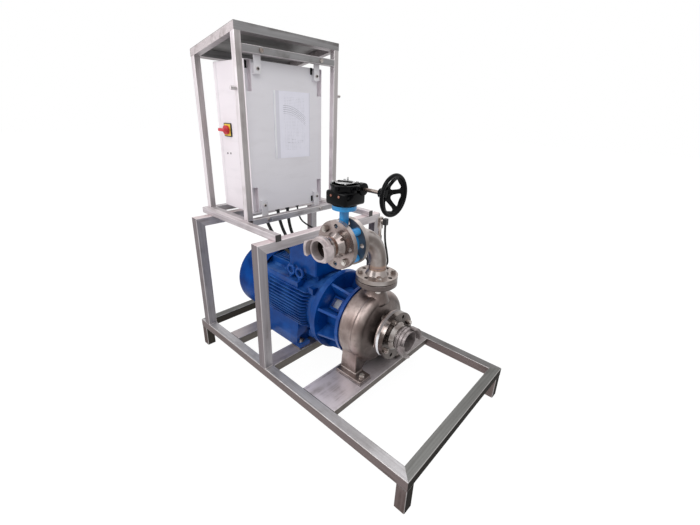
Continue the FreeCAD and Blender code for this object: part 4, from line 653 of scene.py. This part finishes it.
dress(pipe_stainless("elbow_stainless", (190, 179, 174), (160, 149, 144), (116, 108, 104), 0.24,
                     [("Z", 0.655, 0.02)], 0.35), "discharge_elbow")
dress(pipe_stainless("outlet_stainless", (214, 202, 199), (170, 157, 155), (138, 131, 129), 0.13,
                     [("Y", -0.296, 0.014)], 0.6, ("Y", -0.320, -1, (160, 149, 149), (198, 186, 186))),
      "outlet_nozzle")
suction_steel = pipe_stainless("suction_stainless", (160, 153, 151), (150, 142, 140), (112, 105, 102), 0.1,
                               cast=("X", 0.370, 1, (112, 104, 103), (158, 149, 149)))
dress(suction_steel, "suction_nozzle")

# Claws of the suction coupling: cast in one piece with it, each a quarter of a ring round its lug,
# cut from a short tube by a block with one edge on the pump's axis.
CLAW_OUTSIDE = 0.0695
CLAW_INSIDE = 0.0595
CLAW_LENGTH = 0.028
CLAW_MIDDLE = 0.0143
CLAW_ANGLES = {"far": 35, "near": 215}
BLOCK_SIZE = (0.08, 0.1, 0.1)
# From the block's middle to that edge: half the diagonal of its square face.
EDGE_REACH = 0.0707
low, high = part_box("suction_nozzle")
mouth, axis_y, axis_z = high[0], (low[1] + high[1]) / 2, (low[2] + high[2]) / 2
for side, degrees in CLAW_ANGLES.items():
    angle = math.radians(degrees)
    rounds = []
    for radius, depth in ((CLAW_OUTSIDE, CLAW_LENGTH), (CLAW_INSIDE, 0.060)):
        bpy.ops.object.select_all(action="DESELECT")
        bpy.ops.mesh.primitive_cylinder_add(vertices=96, radius=radius, depth=depth,
                                            location=(mouth - CLAW_MIDDLE, axis_y, axis_z),
                                            rotation=(0, math.pi / 2, 0))
        rounds.append(bpy.context.active_object)
    claw, hollow = rounds
    bpy.ops.object.select_all(action="DESELECT")
    bpy.ops.mesh.primitive_cube_add(size=1, scale=BLOCK_SIZE, rotation=(angle - math.pi / 4, 0, 0),
                                    location=(mouth, axis_y + EDGE_REACH * math.cos(angle),
                                              axis_z + EDGE_REACH * math.sin(angle)))
    quarter = bpy.context.active_object
    bpy.ops.object.select_all(action="DESELECT")
    bpy.context.view_layer.objects.active = claw
    claw.select_set(True)
    for cutter, operation in ((hollow, "DIFFERENCE"), (quarter, "INTERSECT")):
        shaping = claw.modifiers.new("shaping", "BOOLEAN")
        shaping.object = cutter
        shaping.operation = operation
        shaping.solver = "EXACT"
        bpy.ops.object.modifier_apply(modifier="shaping")
        bpy.data.objects.remove(cutter)
    settle("suction_claw_" + side, suction_steel, "skid", 0.002)

# Turned steel and seals: the pressure sensor, the butterfly disc, the pump shaft and the worm shaft are
# turned bright. The gasket at the suction flange is a white ring, and the other seals are black.
dress(pipe_stainless("turned_stainless", (196, 190, 186), (190, 182, 178), (180, 172, 168), 0.2),
      "pressure_sensor", "valve_disc", "pump_shaft", "worm_shaft")


def gasket_ring():
    """White ring whose upper part has gone grey under drips from the joint."""
    material, place = finish("gasket_ring", Roughness=0.5)
    height = split(place)[2] + 0.03 * noise(place, 30, 3)
    grain = noise(place, 500, 2)
    return feed(material, Base_Color=mix(step(height, 0.395, 0.43), tone(240, 240, 244), tone(120, 114, 114)),
                Normal=bump(grain, 0.1, 0.0003))


dress(gasket_ring(), "suction_gasket")
dress(moulded("seal_black", (44, 40, 40), 0.5), "shaft_seal", "discharge_gasket", "valve_liner")

# Valve: a lugged ring body in sky blue epoxy, with a worm gearbox on its neck. The gearbox is a black
# enamelled casting: a rounded case on a collar, a round lid with a raised rim and four lugs, and a tunnel
# for the worm, which ends in a wider boss.
dress(moulded("valve_enamel", (36, 158, 232), 0.26, 0.2), "valve_body")
gear_black = moulded("gear_enamel", (5, 5, 7), 0.08, 0.3, gleam=0.09)
low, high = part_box("valve_disc")
stem_x, stem_y = (low[0] + high[0]) / 2, (low[1] + high[1]) / 2
gear_low, lid_top = [corner[2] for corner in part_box("gearbox")]
worm_low, worm_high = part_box("worm_shaft")
worm_y, worm_z = (worm_low[1] + worm_high[1]) / 2, (worm_low[2] + worm_high[2]) / 2
CASE_SIZE = (0.100, 0.106, 0.050)
CASE_ASIDE = 0.002
COLLAR_RADIUS, COLLAR_DEPTH, COLLAR_LIFT = 0.047, 0.016, 0.004
LID_RADIUS, LID_BASE = 0.050, 0.045
RIM_RADIUS, RIM_DEPTH = 0.054, 0.007
TUNNEL_RADIUS, TUNNEL_LENGTH, TUNNEL_ASIDE = 0.019, 0.088, 0.008
BOSS_RADIUS, BOSS_LENGTH, BOSS_ASIDE = 0.0225, 0.022, 0.045
LUG_RADIUS, LUG_DEPTH, LUG_REACH, LUG_DROP = 0.010, 0.016, 0.051, 0.009
LUG_ANGLES = (10, 80, 190, 280)


def gear_disc(word, radius, depth, place, axis="z", sides=72):
    """A round piece of the gearbox in its black enamel."""
    return disc(word, radius, depth, place, axis, gear_black, sides=sides, edge=0.002)


case = block("gear_case", CASE_SIZE, (stem_x + CASE_ASIDE, stem_y + CASE_ASIDE, gear_low + CASE_SIZE[2] / 2),
             gear_black, edge=0.009)
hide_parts("gearbox")
gear_disc("gear_collar", COLLAR_RADIUS, COLLAR_DEPTH, (stem_x, stem_y, gear_low + COLLAR_LIFT))
gear_disc("gear_lid", LID_RADIUS, lid_top - gear_low - LID_BASE,
          (stem_x, stem_y, (lid_top + gear_low + LID_BASE) / 2))
gear_disc("lid_rim", RIM_RADIUS, RIM_DEPTH, (stem_x, stem_y, lid_top - RIM_DEPTH / 2))
gear_disc("worm_tunnel", TUNNEL_RADIUS, TUNNEL_LENGTH, (stem_x + TUNNEL_ASIDE, worm_y, worm_z), "x", 40)
gear_disc("tunnel_boss", BOSS_RADIUS, BOSS_LENGTH, (stem_x + BOSS_ASIDE, worm_y, worm_z), "x", 40)
for number, degrees in enumerate(LUG_ANGLES):
    turn = math.radians(degrees)
    gear_disc("lid_lug_%d" % number, LUG_RADIUS, LUG_DEPTH,
              (stem_x + LUG_REACH * math.cos(turn), stem_y + LUG_REACH * math.sin(turn), lid_top - LUG_DROP),
              sides=40)

# Position plate: a plated disc on the lid with a black pointer and its pin, and round it four plated lid
# screws. Two brass screws close the case on the near side.
PLATE_RADIUS, PLATE_LIFT = 0.036, 0.005
POINTER_SIZE = (0.054, 0.011, 0.004)
POINTER_LIFT = 0.008
POINTER_TURN = math.radians(20)
PIN_RADIUS, PIN_LENGTH = 0.0032, 0.016
LID_SCREW_RADIUS, SCREW_REACH = 0.0055, 0.0437
BODY_SCREW_RADIUS = 0.0048
plated = moulded("plated", (206, 206, 206), 0.18, 0.25, 0.8, 300)
brass = moulded("brass", (168, 112, 96), 0.3, 0.2, 0.6)
disc("position_plate", PLATE_RADIUS, 0.003, (stem_x, stem_y, lid_top + PLATE_LIFT), "z", plated,
     sides=56)
block("position_pointer", POINTER_SIZE, (stem_x, stem_y, lid_top + POINTER_LIFT), gear_black,
      turn=(0, 0, POINTER_TURN))
disc("pointer_pin", PIN_RADIUS, PIN_LENGTH, (stem_x - 0.006, stem_y + 0.02, lid_top + 0.012), "z", plated,
     sides=16)
for number in range(4):
    turn = math.radians(45 + 90 * number)
    disc("lid_screw_%d" % number, LID_SCREW_RADIUS, 0.006,
         (stem_x + SCREW_REACH * math.cos(turn), stem_y + SCREW_REACH * math.sin(turn), lid_top + 0.006), "z",
         plated, sides=6)
for number, x in enumerate((stem_x - 0.018, stem_x + 0.020)):
    disc("body_screw_%d" % number, BODY_SCREW_RADIUS, 0.004, (x, stem_y - 0.0515, gear_low + 0.034), "y",
         brass, sides=6)

# Handwheel: cast in one piece and enamelled black, a round rim and a dished web with five egg-shaped
# openings, on a long hub that is pinned to the worm shaft.
WHEEL_RIM = 0.0068
RIM_INSET = 0.0065
WEB_INSIDE, WEB_CLEARANCE = 0.0150, 0.009
WEB_DISH = 0.036
WEB_THICKNESS = 0.0055
HUB_RADIUS, HUB_LENGTH = 0.0165, 0.030
OPENINGS = 5
OPENING_RADIUS, OPENING_REACH = 0.0255, 0.0405
OPENING_STRETCH = 1.38
OPENING_ROUNDING = 0.018
FIRST_ANGLE = -8
wheel_low, wheel_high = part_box("handwheel")
rim_radius = (wheel_high[2] - wheel_low[2]) / 2
rim_x = wheel_high[0] - RIM_INSET
bpy.ops.object.select_all(action="DESELECT")
bpy.ops.mesh.primitive_cone_add(vertices=96, radius1=WEB_INSIDE, radius2=rim_radius - WEB_CLEARANCE,
                                depth=WEB_DISH, end_fill_type="NOTHING",
                                location=(rim_x - WEB_DISH / 2, worm_y, worm_z),
                                rotation=(0, math.pi / 2, 0))
web = bpy.context.active_object
bpy.ops.object.transform_apply(location=True, rotation=True, scale=True)
wall = web.modifiers.new("wall", "SOLIDIFY")
wall.thickness = WEB_THICKNESS
wall.offset = 0
bpy.ops.object.modifier_apply(modifier="wall")
for number in range(OPENINGS):
    bpy.ops.object.select_all(action="DESELECT")
    bpy.ops.mesh.primitive_cylinder_add(vertices=3, radius=OPENING_RADIUS, depth=0.12,
                                        rotation=(0, math.pi / 2, 0),
                                        location=(rim_x, worm_y - OPENING_REACH, worm_z))
    cutter = bpy.context.active_object
    bpy.ops.object.transform_apply(location=False, rotation=True, scale=True)
    bpy.ops.transform.resize(value=(1, 1, OPENING_STRETCH))
    bpy.ops.transform.rotate(value=math.radians(360 / OPENINGS * number + FIRST_ANGLE), orient_axis="X",
                             center_override=(rim_x, worm_y, worm_z))
    bpy.ops.object.transform_apply(location=True, rotation=True, scale=True)
    soft = cutter.modifiers.new("soft", "BEVEL")
    soft.width = OPENING_ROUNDING
    soft.segments = 6
    soft.angle_limit = math.radians(100)
    bpy.ops.object.modifier_apply(modifier="soft")
    bpy.context.view_layer.objects.active = web
    opening = web.modifiers.new("opening", "BOOLEAN")
    opening.object = cutter
    opening.solver = "EXACT"
    bpy.ops.object.modifier_apply(modifier="opening")
    bpy.data.objects.remove(cutter)
bpy.ops.object.select_all(action="DESELECT")
bpy.context.view_layer.objects.active = web
web.select_set(True)
settle("wheel_web", gear_black, "handwheel", 0.0015)
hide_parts("handwheel")
bpy.ops.object.select_all(action="DESELECT")
bpy.ops.mesh.primitive_torus_add(major_radius=rim_radius - WHEEL_RIM, minor_radius=WHEEL_RIM,
                                 major_segments=96, minor_segments=20, location=(rim_x, worm_y, worm_z),
                                 rotation=(0, math.pi / 2, 0))
settle("wheel_rim", gear_black, "handwheel", 0.0001)
disc("wheel_hub", HUB_RADIUS, HUB_LENGTH, (wheel_low[0] + HUB_LENGTH / 2, worm_y, worm_z), "x", gear_black,
     "handwheel", edge=0.003)

# Fasteners: stainless studs, nuts and screws, bright from the tool, and a washer on each of the four
# feet of the motor.
FOOT_SOLE = 0.020
FOOT_HOLE_SIDE = 0.159
FOOT_HOLE_ROWS = {"front": -0.123, "rear": -0.428}
WASHER_RADIUS, WASHER_DEPTH = 0.022, 0.003
bright = pipe_stainless("bolt_stainless", (232, 230, 228), (222, 218, 216), (206, 202, 200), 0.14)
dress(bright, "flange_bolts", "machine_bolts")
for row, x in FOOT_HOLE_ROWS.items():
    for side, y in (("near", -FOOT_HOLE_SIDE), ("far", FOOT_HOLE_SIDE)):
        disc("foot_washer_%s_%s" % (row, side), WASHER_RADIUS, WASHER_DEPTH,
             (x, y, housing_low[2] + FOOT_SOLE + WASHER_DEPTH / 2), "z", bright)
